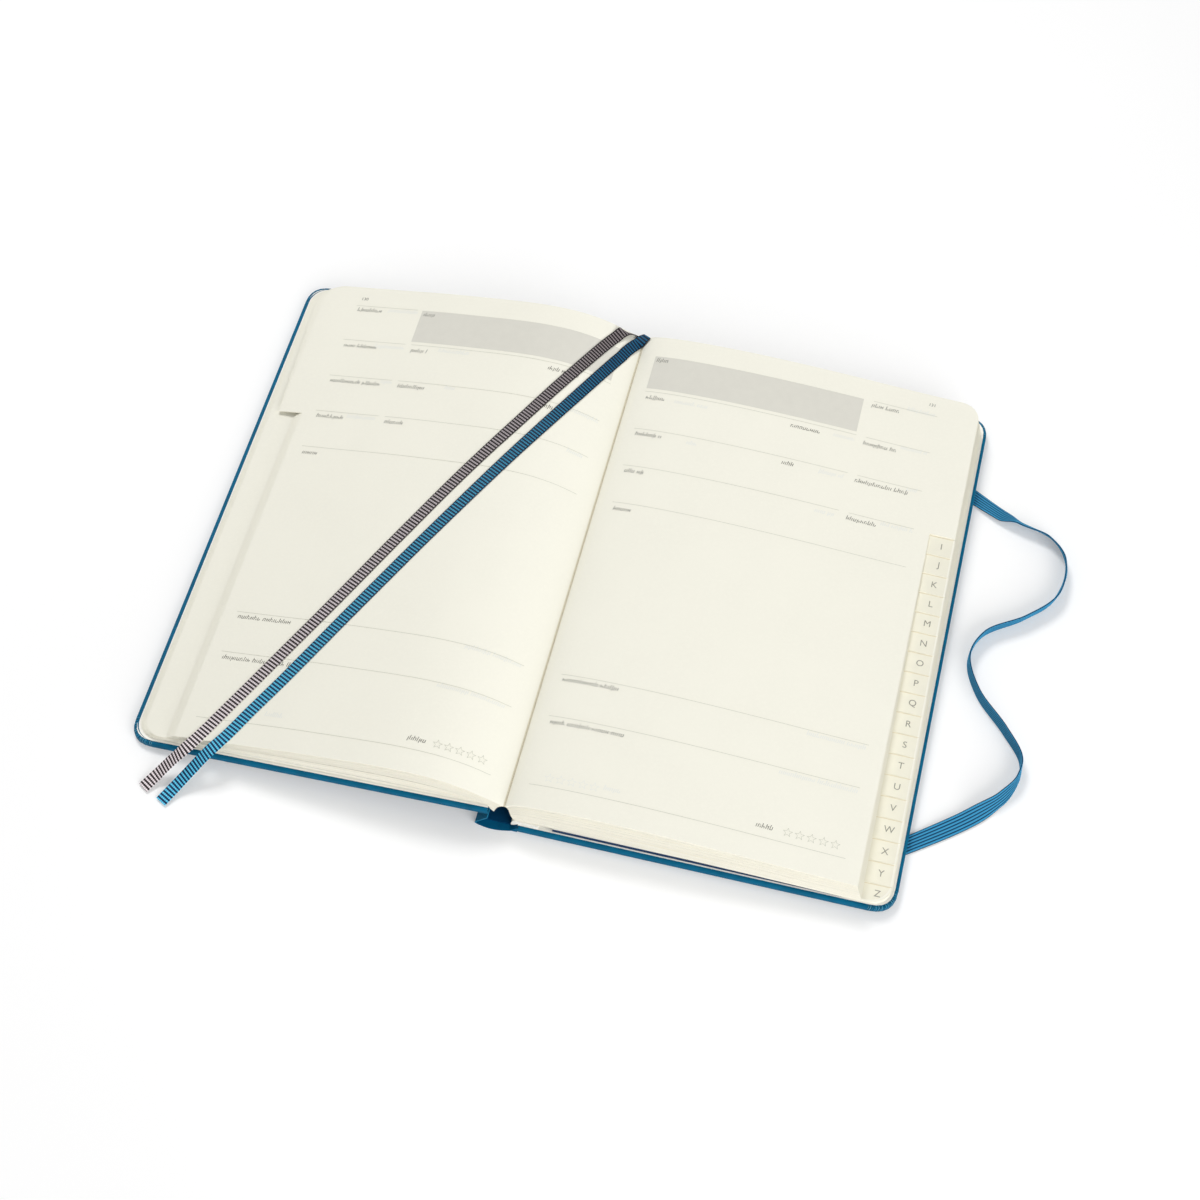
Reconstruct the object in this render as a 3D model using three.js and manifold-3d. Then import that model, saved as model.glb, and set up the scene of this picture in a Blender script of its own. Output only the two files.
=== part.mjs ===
// Hardcover journal with a stepped A to Z thumb index, lying open at section H.
// Millimetres, +Z up, +Y towards the head of the pages. The origin is on the table under the
// middle of the open covers.
//
// Each half is built in the frame of its own cover: `out` runs from the spine edge of the
// board to its fore-edge, and height starts at the outer face of the cover.

import * as THREE from 'three';
import { mergeVertices } from 'three/addons/utils/BufferGeometryUtils.js';
import Module from 'manifold-3d';

const wasm = await Module();
wasm.setup();

// Driving dimensions: the case

const COVER_W = 130;
const COVER_H = 210;
const COVER_CORNER_R = 8.7;
const BOARD_T = 2.2;
const WRAP_T = 0.28;
const GLUE_GAP = 0.06;
const TURN_IN_W = 14;
const EDGE_ROUND_R = 0.6;
const PASTEDOWN_T = 0.15;
const PASTEDOWN_MARGIN = 1.2;
const SPINE_EDGE_X = 5;
const BACK_COVER_TILT = THREE.MathUtils.degToRad(0.5);
const FRONT_COVER_TILT = THREE.MathUtils.degToRad(3.66);

// Driving dimensions: the spine

const SPINE_CLOTH_T = 0.3;
const SPINE_CLOTH_W = 14.4;
const SPINE_CARD_T = 0.75;
const SPINE_CARD_W = 11.5;
const JOINT_CLOTH_W = 7.8;
const JOINT_CLOTH_T = 0.3;
const JOINT_CLOTH_ANGLE = THREE.MathUtils.degToRad(56.5);
const LINING_T = 0.35;
const LINING_REACH = 0.72;
const HINGE_GAP = 0.3;

// Driving dimensions: the leaves

const END_SQUARE = 2;
const PAGE_CORNER_R = 7;
const TAB_COUNT = 26;
const TAB_DEPTH = 9.4;
const LEFT_THICKNESS = 13.1;
const RIGHT_THICKNESS = 15;
const LEFT_BED = 0.3;
const RIGHT_BED = 1.6;
const LEAF_GAP_SHARE = 0.01;
const STACK_STEPS = 14;

// Where the leaves begin, out from the spine edge of their board, and how far their
// fore-edges stand back from the fore-edge of the cover: the pages fan between the two

const LEFT_TOP_START = -5.56;
const LEFT_BOTTOM_START = -0.27;
const LEFT_TOP_SETBACK = 8.8;
const LEFT_BOTTOM_SETBACK = 2.4;
const RIGHT_TOP_START = -4.29;
const RIGHT_BOTTOM_START = -0.76;
const RIGHT_TOP_SETBACK = 4.4;
const RIGHT_BOTTOM_SETBACK = 2;

// Where each bundle of leaves starts and ends, as shares of its stack's thickness

const FRONT_FLYLEAF_BAND = [0, 0.03];
const FRONT_MATTER_BAND = [0.07, 0.35];
const A_TO_G_BAND = [0.38, 0.9];
const H_LEFT_BAND = [0.9, 0.96];
const PAGE_130_BAND = [0.975, 1];
const BACK_FLYLEAF_BAND = [0, 0.02];
const BACK_MATTER_BAND = [0.03, 0.135];
const Z_TO_I_BAND = [0.145, 0.92];
const H_RIGHT_BAND = [0.92, 0.975];
const PAGE_131_BAND = [0.985, 1];

// Driving dimensions: the pocket inside the back cover

const POCKET_START = 12;
const POCKET_SETBACK = 18;
const POCKET_FLANGE_SETBACK = 6;
const POCKET_RISE = 1;
const POCKET_RAMP_W = 4;
const PANEL_T = 0.25;
const GUSSET_T = 0.15;
const GUSSET_FOLD_W = 5;
const GUSSET_OVERHANG = 0.4;

// Driving dimensions: the elastic closure and the two ribbon markers

const ELASTIC_W = 6.3;
const ELASTIC_T = 0.7;
const ELASTIC_REST_GAP = 0.15;
const ELASTIC_SLOT_SETBACK = 17;
const ELASTIC_SLOT_INSET = 20;
const ELASTIC_SLOT_CLEARANCE = 0.3;
const HEAD_EXIT_INSET = 34.7;
const HEAD_EXIT_SLANT = 3;
const TAIL_EXIT_INSET = 28;
const TAIL_EXIT_SLANT = 4;
const EXIT_GAP = 0.4;
const RIBBON_W = 4.5;
const RIBBON_T = 0.35;
const RIBBON_CLEARANCE = 0.3;
const RIBBON_CROSSING_INSET = 11;

// Sizes that follow from them

const COVER_T = 2 * (WRAP_T + GLUE_GAP) + BOARD_T;
const PASTEDOWN_Z = COVER_T + GLUE_GAP;
const INNER_FACE_Z = PASTEDOWN_Z + PASTEDOWN_T;
const PAGE_H = COVER_H - 2 * END_SQUARE;
const HEAD_Y = PAGE_H / 2;
const TAB_PITCH = PAGE_H / TAB_COUNT;
const FRONT_HINGE_Z = COVER_W * Math.sin(FRONT_COVER_TILT);
const BACK_REACH = SPINE_EDGE_X + COVER_W * Math.cos(BACK_COVER_TILT);
const FRONT_EDGE_X = COVER_W * Math.cos(FRONT_COVER_TILT) + COVER_T * Math.sin(FRONT_COVER_TILT)
  - BACK_REACH;
const POCKET_END = COVER_W - POCKET_SETBACK;
const HEAD_EXIT_Y = COVER_H / 2 - HEAD_EXIT_INSET;
const TAIL_EXIT_Y = TAIL_EXIT_INSET - COVER_H / 2;
const RIBBON_CROSSING_Y = COVER_H / 2 - RIBBON_CROSSING_INSET;
const CUT_MARGIN = 1;
const LEAF_PLAN_START = 2 * SPINE_EDGE_X;

// Heights of the open page as shares of the stack's thickness, against the share of the page's
// width: a steep rise out of the gutter, a crown, and a long fall to the fore-edge.

const LEFT_SWELL = [
  [0, 0.1], [0.03, 0.27], [0.062, 0.44], [0.1, 0.635], [0.145, 0.8], [0.205, 0.935],
  [0.29, 1], [0.37, 0.98], [0.47, 0.905], [0.61, 0.78], [0.77, 0.585], [0.93, 0.397], [1, 0.3],
];
const RIGHT_SWELL = [
  [0, 0.667], [0.011, 0.773], [0.03, 0.853], [0.073, 0.93], [0.165, 0.99], [0.31, 1],
  [0.46, 0.953], [0.61, 0.87], [0.757, 0.767], [0.88, 0.69], [1, 0.633],
];

// Looks

const COVER_BLUE = { color: '#005a88', roughness: 0.55 };
const CLOTH_BLUE = { color: '#00476d', roughness: 0.7 };
const GUSSET_NAVY = { color: '#2a4b6a', roughness: 0.85 };
const BOARD_GREY = { color: '#8d8a82', roughness: 0.9 };
const PAPER = { color: '#f1efe2', roughness: 0.9 };
const PAPER_WHITE = { color: '#faf8f0', roughness: 0.9 };
const LINING_DARK = { color: '#1c2c38', roughness: 0.95 };
const ELASTIC_BLUE = { color: '#2f7ba8', roughness: 0.75 };
const RIBBON_TAUPE = { color: '#8a7f80', roughness: 0.5 };
const RIBBON_BLUE = { color: '#2b86a8', roughness: 0.5 };

// Helpers

function part(name, geometry, look, parent) {
  geometry.computeVertexNormals();
  const material = new THREE.MeshStandardMaterial({ metalness: 0, ...look });
  const mesh = new THREE.Mesh(geometry, material);
  mesh.name = name;
  parent.add(mesh);
  return mesh;
}

function toSolid(geometry) {
  const bare = geometry.clone();
  bare.deleteAttribute('normal');
  bare.deleteAttribute('uv');
  const merged = mergeVertices(bare);
  return new wasm.Manifold(new wasm.Mesh({
    numProp: 3,
    vertProperties: new Float32Array(merged.attributes.position.array),
    triVerts: new Uint32Array(merged.index.array),
  }));
}

function toGeometry(solid) {
  const mesh = solid.getMesh();
  const geometry = new THREE.BufferGeometry();
  geometry.setAttribute('position', new THREE.BufferAttribute(mesh.vertProperties, 3));
  geometry.setIndex(new THREE.BufferAttribute(mesh.triVerts, 1));
  return geometry;
}

function outline(points) {
  return new THREE.Shape(points.map(([x, y]) => new THREE.Vector2(x, y)));
}

// A plan outline raised from one height to another.
function slab(shape, bottom, top) {
  const geometry = new THREE.ExtrudeGeometry(shape, {
    depth: top - bottom, bevelEnabled: false, curveSegments: 6,
  });
  return geometry.translate(0, 0, bottom);
}

// An outline in the XZ plane, drawn along the spine from one Y to another.
function alongSpine(shape, tail, head) {
  const geometry = new THREE.ExtrudeGeometry(shape, { depth: head - tail, bevelEnabled: false });
  return geometry.rotateX(Math.PI / 2).translate(0, head, 0);
}

// The plan of a cover, a board or a leaf: square at the spine, rounded at the fore-edge.
function roundedPlan(side, start, end, height, radius) {
  const shape = new THREE.Shape();
  const half = height / 2;
  shape.moveTo(side * start, -half);
  shape.lineTo(side * (end - radius), -half);
  shape.quadraticCurveTo(side * end, -half, side * end, radius - half);
  shape.lineTo(side * end, half - radius);
  shape.quadraticCurveTo(side * end, half, side * (end - radius), half);
  shape.lineTo(side * start, half);
  shape.closePath();
  return shape;
}

// A strip drawn by its centre line in the XZ plane, with square ends.
function stripOutline(from, to, thickness) {
  const start = new THREE.Vector2(...from);
  const end = new THREE.Vector2(...to);
  const along = end.clone().sub(start).normalize();
  const across = new THREE.Vector2(-along.y, along.x).multiplyScalar(thickness / 2);
  return new THREE.Shape([
    start.clone().sub(across), end.clone().sub(across), end.clone().add(across),
    start.clone().add(across),
  ]);
}

// The case: board, leatherette wrap with its turn-ins, and pastedown

function coverWrap(side, slots) {
  const plate = new THREE.ExtrudeGeometry(
    roundedPlan(side, 0, COVER_W, COVER_H, COVER_CORNER_R),
    {
      depth: COVER_T - 2 * EDGE_ROUND_R,
      bevelThickness: EDGE_ROUND_R,
      bevelSize: EDGE_ROUND_R,
      bevelOffset: -EDGE_ROUND_R,
      bevelSegments: 2,
      curveSegments: 6,
    },
  ).translate(0, 0, EDGE_ROUND_R);
  const cavity = slab(
    roundedPlan(
      side, -CUT_MARGIN, COVER_W - WRAP_T, COVER_H - 2 * WRAP_T, COVER_CORNER_R - WRAP_T,
    ),
    WRAP_T,
    COVER_T - WRAP_T,
  );
  const windowHole = slab(
    roundedPlan(
      side, -CUT_MARGIN, COVER_W - TURN_IN_W, COVER_H - 2 * TURN_IN_W, COVER_CORNER_R / 2,
    ),
    COVER_T - 2 * WRAP_T,
    COVER_T + WRAP_T,
  );
  const wrap = toSolid(plate).subtract(toSolid(cavity)).subtract(toSolid(windowHole));
  return toGeometry(cutSlots(wrap, slots));
}

function coverBoard(side, slots) {
  const inset = WRAP_T + GLUE_GAP;
  const plate = slab(
    roundedPlan(side, EDGE_ROUND_R, COVER_W - inset, COVER_H - 2 * inset, COVER_CORNER_R - inset),
    inset,
    inset + BOARD_T,
  );
  return toGeometry(cutSlots(toSolid(plate), slots));
}

function cutSlots(solid, slots) {
  return slots.reduce((rest, slot) => rest.subtract(toSolid(slot)), solid);
}

function pastedown(side) {
  const plan = roundedPlan(
    side,
    0,
    COVER_W - PASTEDOWN_MARGIN,
    COVER_H - 2 * PASTEDOWN_MARGIN,
    COVER_CORNER_R - PASTEDOWN_MARGIN,
  );
  return slab(plan, PASTEDOWN_Z, INNER_FACE_Z);
}

function addCover(name, side, slots, half) {
  part(`${name}_board`, coverBoard(side, slots), BOARD_GREY, half);
  part(`${name}_cover_wrap`, coverWrap(side, slots), COVER_BLUE, half);
  part(`${name}_pastedown`, pastedown(side), PAPER_WHITE, half);
}

// The leaves: each bundle lies between two shares of its stack's thickness

function stackCurve(stack, share) {
  const points = stack.swell.map(([across, rise]) => {
    const top = THREE.MathUtils.lerp(...stack.topSpan, across);
    const bottom = THREE.MathUtils.lerp(...stack.bottomSpan, across);
    const height = THREE.MathUtils.lerp(stack.bed, rise * stack.thickness, share);
    return new THREE.Vector2(THREE.MathUtils.lerp(bottom, top, share), INNER_FACE_Z + height);
  });
  return new THREE.SplineCurve(points);
}

function bundleOutline(stack, low, high) {
  const upper = stackCurve(stack, high).getPoints(STACK_STEPS);
  const lower = stackCurve(stack, low).getPoints(STACK_STEPS).reverse();
  return outline([...upper, ...lower].map((point) => [stack.side * point.x, point.y]));
}

// The plan of a leaf of one index section: full width down to the end of its own tab, and
// narrower by the depth of the tabs from there to the tail.
function indexedPlan(side, foreEdge, section) {
  const start = -LEAF_PLAN_START;
  const tabEnd = HEAD_Y - (section + 1) * TAB_PITCH;
  const inner = foreEdge - TAB_DEPTH;
  const shape = new THREE.Shape();
  shape.moveTo(side * start, -HEAD_Y);
  shape.lineTo(side * inner, -HEAD_Y);
  shape.lineTo(side * inner, tabEnd);
  shape.lineTo(side * foreEdge, tabEnd);
  shape.lineTo(side * foreEdge, HEAD_Y - PAGE_CORNER_R);
  shape.quadraticCurveTo(side * foreEdge, HEAD_Y, side * (foreEdge - PAGE_CORNER_R), HEAD_Y);
  shape.lineTo(side * start, HEAD_Y);
  shape.closePath();
  return shape;
}

function leafBundle(stack, [low, high], section) {
  const cut = section < TAB_COUNT - 1;
  const foreEdge = Math.max(...[low, high].map((share) => stackCurve(stack, share).getPoint(1).x));
  const plan = cut
    ? indexedPlan(stack.side, foreEdge, section)
    : roundedPlan(stack.side, -LEAF_PLAN_START, foreEdge, PAGE_H, PAGE_CORNER_R);
  const body = toSolid(alongSpine(bundleOutline(stack, low, high), -HEAD_Y, HEAD_Y));
  const reach = INNER_FACE_Z + stack.thickness * 2;
  return toGeometry(body.intersect(toSolid(slab(plan, 0, reach))));
}

// Adds bundles from the bed of the stack upwards. Each row is a name, the band of the stack
// that the bundle fills, and its place in the index (the last one for full leaves).
function addBundles(stack, rows, half) {
  for (const [name, band, section = TAB_COUNT - 1] of rows) {
    part(name, leafBundle(stack, band, section), PAPER, half);
  }
}

function sectionRows(letters, [low, high]) {
  const pitch = (high - low) / letters.length;
  return letters.map((letter, index) => [
    `section_${letter}`,
    [low + index * pitch, low + (index + 1) * pitch - LEAF_GAP_SHARE],
    letter.charCodeAt(0) - 'a'.charCodeAt(0),
  ]);
}

function letterRange(first, last) {
  const start = first.charCodeAt(0);
  const step = Math.sign(last.charCodeAt(0) - start);
  const count = Math.abs(last.charCodeAt(0) - start) + 1;
  return Array.from({ length: count }, (_, index) => String.fromCharCode(start + step * index));
}

// The lining glued over the back of a stack, along the line where its leaves begin. It ends
// below the gutter, where the two halves of the sewn sheets meet.
function addLining(name, stack, half) {
  const low = stackCurve(stack, 0).getPoint(0);
  const high = stackCurve(stack, LINING_REACH).getPoint(0);
  const along = high.clone().sub(low).normalize();
  const offset = new THREE.Vector2(-along.y, along.x).multiplyScalar(HINGE_GAP + LINING_T / 2);
  const from = low.clone().add(offset);
  const to = high.clone().add(offset);
  const shape = stripOutline(
    [stack.side * from.x, from.y], [stack.side * to.x, to.y], LINING_T,
  );
  part(name, alongSpine(shape, -HEAD_Y, HEAD_Y), LINING_DARK, half);
}

const LEFT_STACK = {
  side: -1,
  swell: LEFT_SWELL,
  thickness: LEFT_THICKNESS,
  topSpan: [LEFT_TOP_START, COVER_W - LEFT_TOP_SETBACK],
  bottomSpan: [LEFT_BOTTOM_START, COVER_W - LEFT_BOTTOM_SETBACK],
  bed: LEFT_BED,
};

const RIGHT_STACK = {
  side: 1,
  swell: RIGHT_SWELL,
  thickness: RIGHT_THICKNESS,
  topSpan: [RIGHT_TOP_START, COVER_W - RIGHT_TOP_SETBACK],
  bottomSpan: [RIGHT_BOTTOM_START, COVER_W - RIGHT_BOTTOM_SETBACK],
  bed: RIGHT_BED,
};

const SECTION_H = 7;

function addLeftLeaves(half) {
  addBundles(LEFT_STACK, [
    ['front_flyleaf', FRONT_FLYLEAF_BAND],
    ['front_matter', FRONT_MATTER_BAND],
    ...sectionRows(letterRange('a', 'g'), A_TO_G_BAND),
    ['section_h_left', H_LEFT_BAND, SECTION_H],
    ['leaf_page_130', PAGE_130_BAND, SECTION_H],
  ], half);
  addLining('spine_lining_front', LEFT_STACK, half);
}

function addRightLeaves(half) {
  addBundles(RIGHT_STACK, [
    ['back_flyleaf', BACK_FLYLEAF_BAND],
    ['back_matter', BACK_MATTER_BAND],
    ...sectionRows(letterRange('z', 'i'), Z_TO_I_BAND),
    ['section_h_right', H_RIGHT_BAND, SECTION_H],
    ['leaf_page_131', PAGE_131_BAND, SECTION_H],
  ], half);
  addLining('spine_lining_back', RIGHT_STACK, half);
}

// The pocket: a stiff front panel on a flange along the fore-edge, and a folded cloth gusset
// at its head and tail

function addPocket(half) {
  const bed = INNER_FACE_Z + GLUE_GAP;
  const top = bed + POCKET_RISE;
  const flangeEnd = COVER_W - POCKET_FLANGE_SETBACK;
  const panel = outline([
    [POCKET_START, top],
    [POCKET_END, top],
    [POCKET_END + POCKET_RAMP_W, bed],
    [flangeEnd, bed],
    [flangeEnd, bed + PANEL_T],
    [POCKET_END + POCKET_RAMP_W, bed + PANEL_T],
    [POCKET_END, top + PANEL_T],
    [POCKET_START, top + PANEL_T],
  ]);
  part('pocket_panel', alongSpine(panel, -HEAD_Y, HEAD_Y), PAPER_WHITE, half);
  addGusset('pocket_head_gusset', 1, bed, top, half);
  addGusset('pocket_tail_gusset', -1, bed, top, half);
}

function addGusset(name, end, bed, top, half) {
  const edge = HEAD_Y + GUSSET_OVERHANG;
  const crease = edge - GUSSET_FOLD_W;
  const middle = (bed + top) / 2;
  const leg = (top - bed) / 2 - GLUE_GAP;
  const fold = outline([
    [end * edge, middle - leg],
    [end * edge, middle - leg + GUSSET_T],
    [end * (crease + GUSSET_T), middle],
    [end * edge, middle + leg - GUSSET_T],
    [end * edge, middle + leg],
    [end * crease, middle + GUSSET_T],
    [end * crease, middle - GUSSET_T],
  ]);
  const geometry = new THREE.ExtrudeGeometry(fold, {
    depth: POCKET_END - POCKET_START, bevelEnabled: false,
  });
  geometry.rotateX(Math.PI / 2).rotateZ(Math.PI / 2).translate(POCKET_START, 0, 0);
  part(name, geometry, GUSSET_NAVY, half);
}

// The spine: a covered card strip on the cloth that lies on the table, and the cloth of the front
// joint that turns up to the front cover

function addSpine(journal) {
  const tip = SPINE_EDGE_X - HINGE_GAP - SPINE_CLOTH_W;
  const cloth = outline([
    [tip, 0],
    [SPINE_EDGE_X - HINGE_GAP, 0],
    [SPINE_EDGE_X - HINGE_GAP, SPINE_CLOTH_T],
    [tip, SPINE_CLOTH_T],
  ]);
  part('spine_cloth', alongSpine(cloth, -COVER_H / 2, COVER_H / 2), CLOTH_BLUE, journal);

  const cardBottom = SPINE_CLOTH_T + GLUE_GAP;
  const cardEnd = tip + (SPINE_CLOTH_W - SPINE_CARD_W) / 2;
  const card = outline([
    [cardEnd, cardBottom],
    [cardEnd + SPINE_CARD_W, cardBottom],
    [cardEnd + SPINE_CARD_W, cardBottom + SPINE_CARD_T],
    [cardEnd, cardBottom + SPINE_CARD_T],
  ]);
  part('spine_strip', alongSpine(card, -HEAD_Y, HEAD_Y), CLOTH_BLUE, journal);

  const rise = new THREE.Vector2(Math.cos(JOINT_CLOTH_ANGLE), Math.sin(JOINT_CLOTH_ANGLE));
  const foot = new THREE.Vector2(tip, SPINE_CLOTH_T + HINGE_GAP).addScaledVector(rise, HINGE_GAP);
  const end = foot.clone().addScaledVector(rise, JOINT_CLOTH_W);
  const flap = stripOutline([foot.x, foot.y], [end.x, end.y], JOINT_CLOTH_T);
  part('joint_cloth', alongSpine(flap, -COVER_H / 2, COVER_H / 2), CLOTH_BLUE, journal);
}

// Bands: a flat ribbon section carried along a route, with its own side vector at each step

function bandGeometry(stations, width, thickness) {
  const positions = [];
  const index = [];
  for (const { centre, across, normal } of stations) {
    for (const [a, n] of [[-1, -1], [1, -1], [1, 1], [-1, 1]]) {
      const corner = centre.clone()
        .addScaledVector(across, a * width / 2)
        .addScaledVector(normal, n * thickness / 2);
      positions.push(corner.x, corner.y, corner.z);
    }
  }
  for (let step = 0; step < stations.length - 1; step += 1) {
    for (let side = 0; side < 4; side += 1) {
      const a = step * 4 + side;
      const b = step * 4 + (side + 1) % 4;
      index.push(a, b, b + 4, a, b + 4, a + 4);
    }
  }
  const last = (stations.length - 1) * 4;
  index.push(0, 2, 1, 0, 3, 2);
  index.push(last, last + 1, last + 2, last, last + 2, last + 3);
  const geometry = new THREE.BufferGeometry();
  geometry.setAttribute('position', new THREE.Float32BufferAttribute(positions, 3));
  geometry.setIndex(index);
  return geometry;
}

// Stations along a smooth curve through the route. `acrossAt` gives the side vector from the
// direction of travel and the share of the route's points passed.
function stationsAlong(points, count, acrossAt) {
  const curve = new THREE.CatmullRomCurve3(points, false, 'centripetal');
  return Array.from({ length: count + 1 }, (_, step) => {
    const share = step / count;
    const centre = curve.getPoint(share);
    const along = curve.getTangent(share);
    const across = acrossAt(along, share);
    across.addScaledVector(along, -across.dot(along)).normalize();
    const normal = new THREE.Vector3().crossVectors(along, across);
    return { centre, across, normal };
  });
}

// The elastic closure. Its loop lies on the table beside the back cover. Each point of the
// loop is its distance past the fore-edge and its place along it from the middle, as shares of
// the cover's width and height, and the lean of the band in degrees: 0 lies flat, 90 stands on
// edge, more than 90 leans the other way.

const UP = new THREE.Vector3(0, 0, 1);
const EXIT_X = BACK_REACH + EXIT_GAP;
const ELASTIC_STEPS = 64;
const LOOP_POINTS = [
  [0.0826, 0.3085, 14], [0.1414, 0.2944, 50], [0.2351, 0.275, 59], [0.2854, 0.2281, 77],
  [0.2715, 0.153, 101], [0.198, 0.1007, 104], [0.0939, 0.05, 99], [0.0676, -0.0034, 90],
  [0.1078, -0.0656, 90], [0.1949, -0.1256, 92], [0.2507, -0.1741, 89], [0.2517, -0.2107, 81],
  [0.2166, -0.2541, 61], [0.1262, -0.3078, 14],
];

// The whole route, with the flat runs at both ends that go in under the cover.
const ELASTIC_ROUTE = [
  { x: COVER_W, y: HEAD_EXIT_Y + HEAD_EXIT_SLANT, lean: 0 },
  ...LOOP_POINTS.map(([out, along, lean]) => (
    { x: BACK_REACH + out * COVER_W, y: along * COVER_H, lean }
  )),
  { x: EXIT_X, y: TAIL_EXIT_Y, lean: 0 },
  { x: COVER_W, y: TAIL_EXIT_Y - TAIL_EXIT_SLANT, lean: 0 },
];

function leanAt(share) {
  const place = share * (ELASTIC_ROUTE.length - 1);
  const index = Math.min(Math.floor(place), ELASTIC_ROUTE.length - 2);
  const blend = THREE.MathUtils.smoothstep(place - index, 0, 1);
  const [from, to] = [ELASTIC_ROUTE[index].lean, ELASTIC_ROUTE[index + 1].lean];
  return THREE.MathUtils.degToRad(THREE.MathUtils.lerp(from, to, blend));
}

function restHeight(lean) {
  return ELASTIC_REST_GAP + Math.abs(Math.sin(lean)) * ELASTIC_W / 2
    + Math.abs(Math.cos(lean)) * ELASTIC_T / 2;
}

function addElasticLoop(journal) {
  const points = ELASTIC_ROUTE.map(({ x, y }) => new THREE.Vector3(x, y, 0));
  const stations = stationsAlong(points, ELASTIC_STEPS, (along, share) => {
    const side = new THREE.Vector3().crossVectors(along, UP).normalize();
    const lean = leanAt(share);
    return side.multiplyScalar(Math.cos(lean)).addScaledVector(UP, Math.sin(lean));
  });
  stations.forEach(({ centre }, step) => {
    centre.z = restHeight(leanAt(step / ELASTIC_STEPS));
  });
  const band = toSolid(bandGeometry(stations, ELASTIC_W, ELASTIC_T));
  const underCover = toSolid(
    new THREE.BoxGeometry(EXIT_X, COVER_H, COVER_T * 2).translate(EXIT_X / 2, 0, 0),
  );
  part('elastic_loop', toGeometry(band.subtract(underCover)), ELASTIC_BLUE, journal);
}

// One fixed end of the elastic: a flat run under the back cover that turns up into its slot.

function slotFrame(end) {
  const exitY = end > 0 ? HEAD_EXIT_Y : TAIL_EXIT_Y;
  const slotY = end * (COVER_H / 2 - ELASTIC_SLOT_INSET);
  const slot = new THREE.Vector2(COVER_W - ELASTIC_SLOT_SETBACK, slotY);
  const exit = new THREE.Vector2(COVER_W, exitY);
  return { slot, angle: exit.clone().sub(slot).angle(), length: exit.distanceTo(slot) };
}

function placedInSlot(geometry, { slot, angle }) {
  return geometry.rotateZ(angle).translate(slot.x, slot.y, 0);
}

function slotHole(end) {
  const thickness = ELASTIC_T + 2 * ELASTIC_SLOT_CLEARANCE;
  const width = ELASTIC_W + 2 * ELASTIC_SLOT_CLEARANCE;
  const hole = new THREE.BoxGeometry(thickness, width, COVER_T * 3);
  return placedInSlot(hole, slotFrame(end));
}

function addElasticAnchor(name, end, half) {
  const frame = slotFrame(end);
  const top = -HINGE_GAP;
  const halfThickness = ELASTIC_T / 2;
  const bend = outline([
    [-halfThickness, top - ELASTIC_T],
    [frame.length + ELASTIC_W, top - ELASTIC_T],
    [frame.length + ELASTIC_W, top],
    [halfThickness, top],
    [halfThickness, COVER_T - WRAP_T],
    [-halfThickness, COVER_T - WRAP_T],
  ]);
  const band = toSolid(placedInSlot(alongSpine(bend, -ELASTIC_W / 2, ELASTIC_W / 2), frame));
  const pastEdge = toSolid(
    new THREE.BoxGeometry(COVER_W, COVER_H, COVER_T * 2).translate(COVER_W * 1.5, 0, 0),
  );
  part(name, toGeometry(band.subtract(pastEdge)), ELASTIC_BLUE, half);
}

// The ribbon markers. On the left page a route point is its distance from the gutter and its
// place from the middle of the page, as shares of the cover's width and the page's height, and
// the ribbon's height follows the page. The points of the hanging end are the same share of
// the width, the distance past the tail of the page, and the height over the table.

const RIBBON_STEPS = 56;
const TAUPE_ROUTE = {
  onPage: [
    [0.0331, 0.5019], [0.0485, 0.4981], [0.0638, 0.4859], [0.0823, 0.4655], [0.1423, 0.3854],
    [0.2008, 0.3097], [0.2685, 0.2238], [0.3362, 0.1422], [0.3992, 0.0641], [0.4577, -0.0117],
    [0.5146, -0.0859], [0.57, -0.1592], [0.6254, -0.2311], [0.6815, -0.3015], [0.7369, -0.3709],
    [0.7923, -0.4398], [0.8408, -0.4995],
  ],
  hanging: [[0.8638, 4.6, 10.2], [0.8946, 8.3, 6.6], [0.9285, 12.8, 2.3], [0.9531, 17.6, 0.8]],
};
const BLUE_ROUTE = {
  onPage: [
    [0.0246, 0.5019], [0.0277, 0.4767], [0.04, 0.4485], [0.0646, 0.4117], [0.1192, 0.3311],
    [0.1877, 0.2383], [0.2546, 0.1534], [0.3185, 0.0728], [0.38, -0.0039], [0.44, -0.0786],
    [0.4977, -0.1524], [0.5538, -0.2243], [0.6085, -0.2951], [0.6631, -0.3646], [0.72, -0.433],
    [0.7723, -0.4971],
  ],
  hanging: [[0.7962, 3.5, 11.2], [0.83, 8.6, 6.8], [0.8669, 14.9, 2.4], [0.8938, 21.2, 0.8]],
};

// Height and slope of the open left page in the journal's frame, at a given x.
function leftPageAt(x) {
  const surface = stackCurve(LEFT_STACK, 1).getPoints(STACK_STEPS).map((point) => {
    const place = new THREE.Vector3(-point.x, 0, point.y);
    place.applyAxisAngle(new THREE.Vector3(0, 1, 0), -FRONT_COVER_TILT);
    return place.add(new THREE.Vector3(FRONT_EDGE_X, 0, FRONT_HINGE_Z));
  });
  const after = Math.max(1, surface.findIndex((place) => place.x < x));
  const [near, far] = [surface[after - 1], surface[after]];
  const slope = (far.z - near.z) / (far.x - near.x);
  return { height: near.z + (x - near.x) * slope, slope };
}

// Height of a ribbon's middle over the page. The upper ribbon rides over the lower one at the
// head, where both come out of the gutter.
function ribbonLift(y, layer) {
  const crossing = THREE.MathUtils.smoothstep(y, RIBBON_CROSSING_Y - RIBBON_W, RIBBON_CROSSING_Y);
  return RIBBON_CLEARANCE + RIBBON_T / 2 + layer * crossing * (RIBBON_T + RIBBON_CLEARANCE);
}

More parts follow.
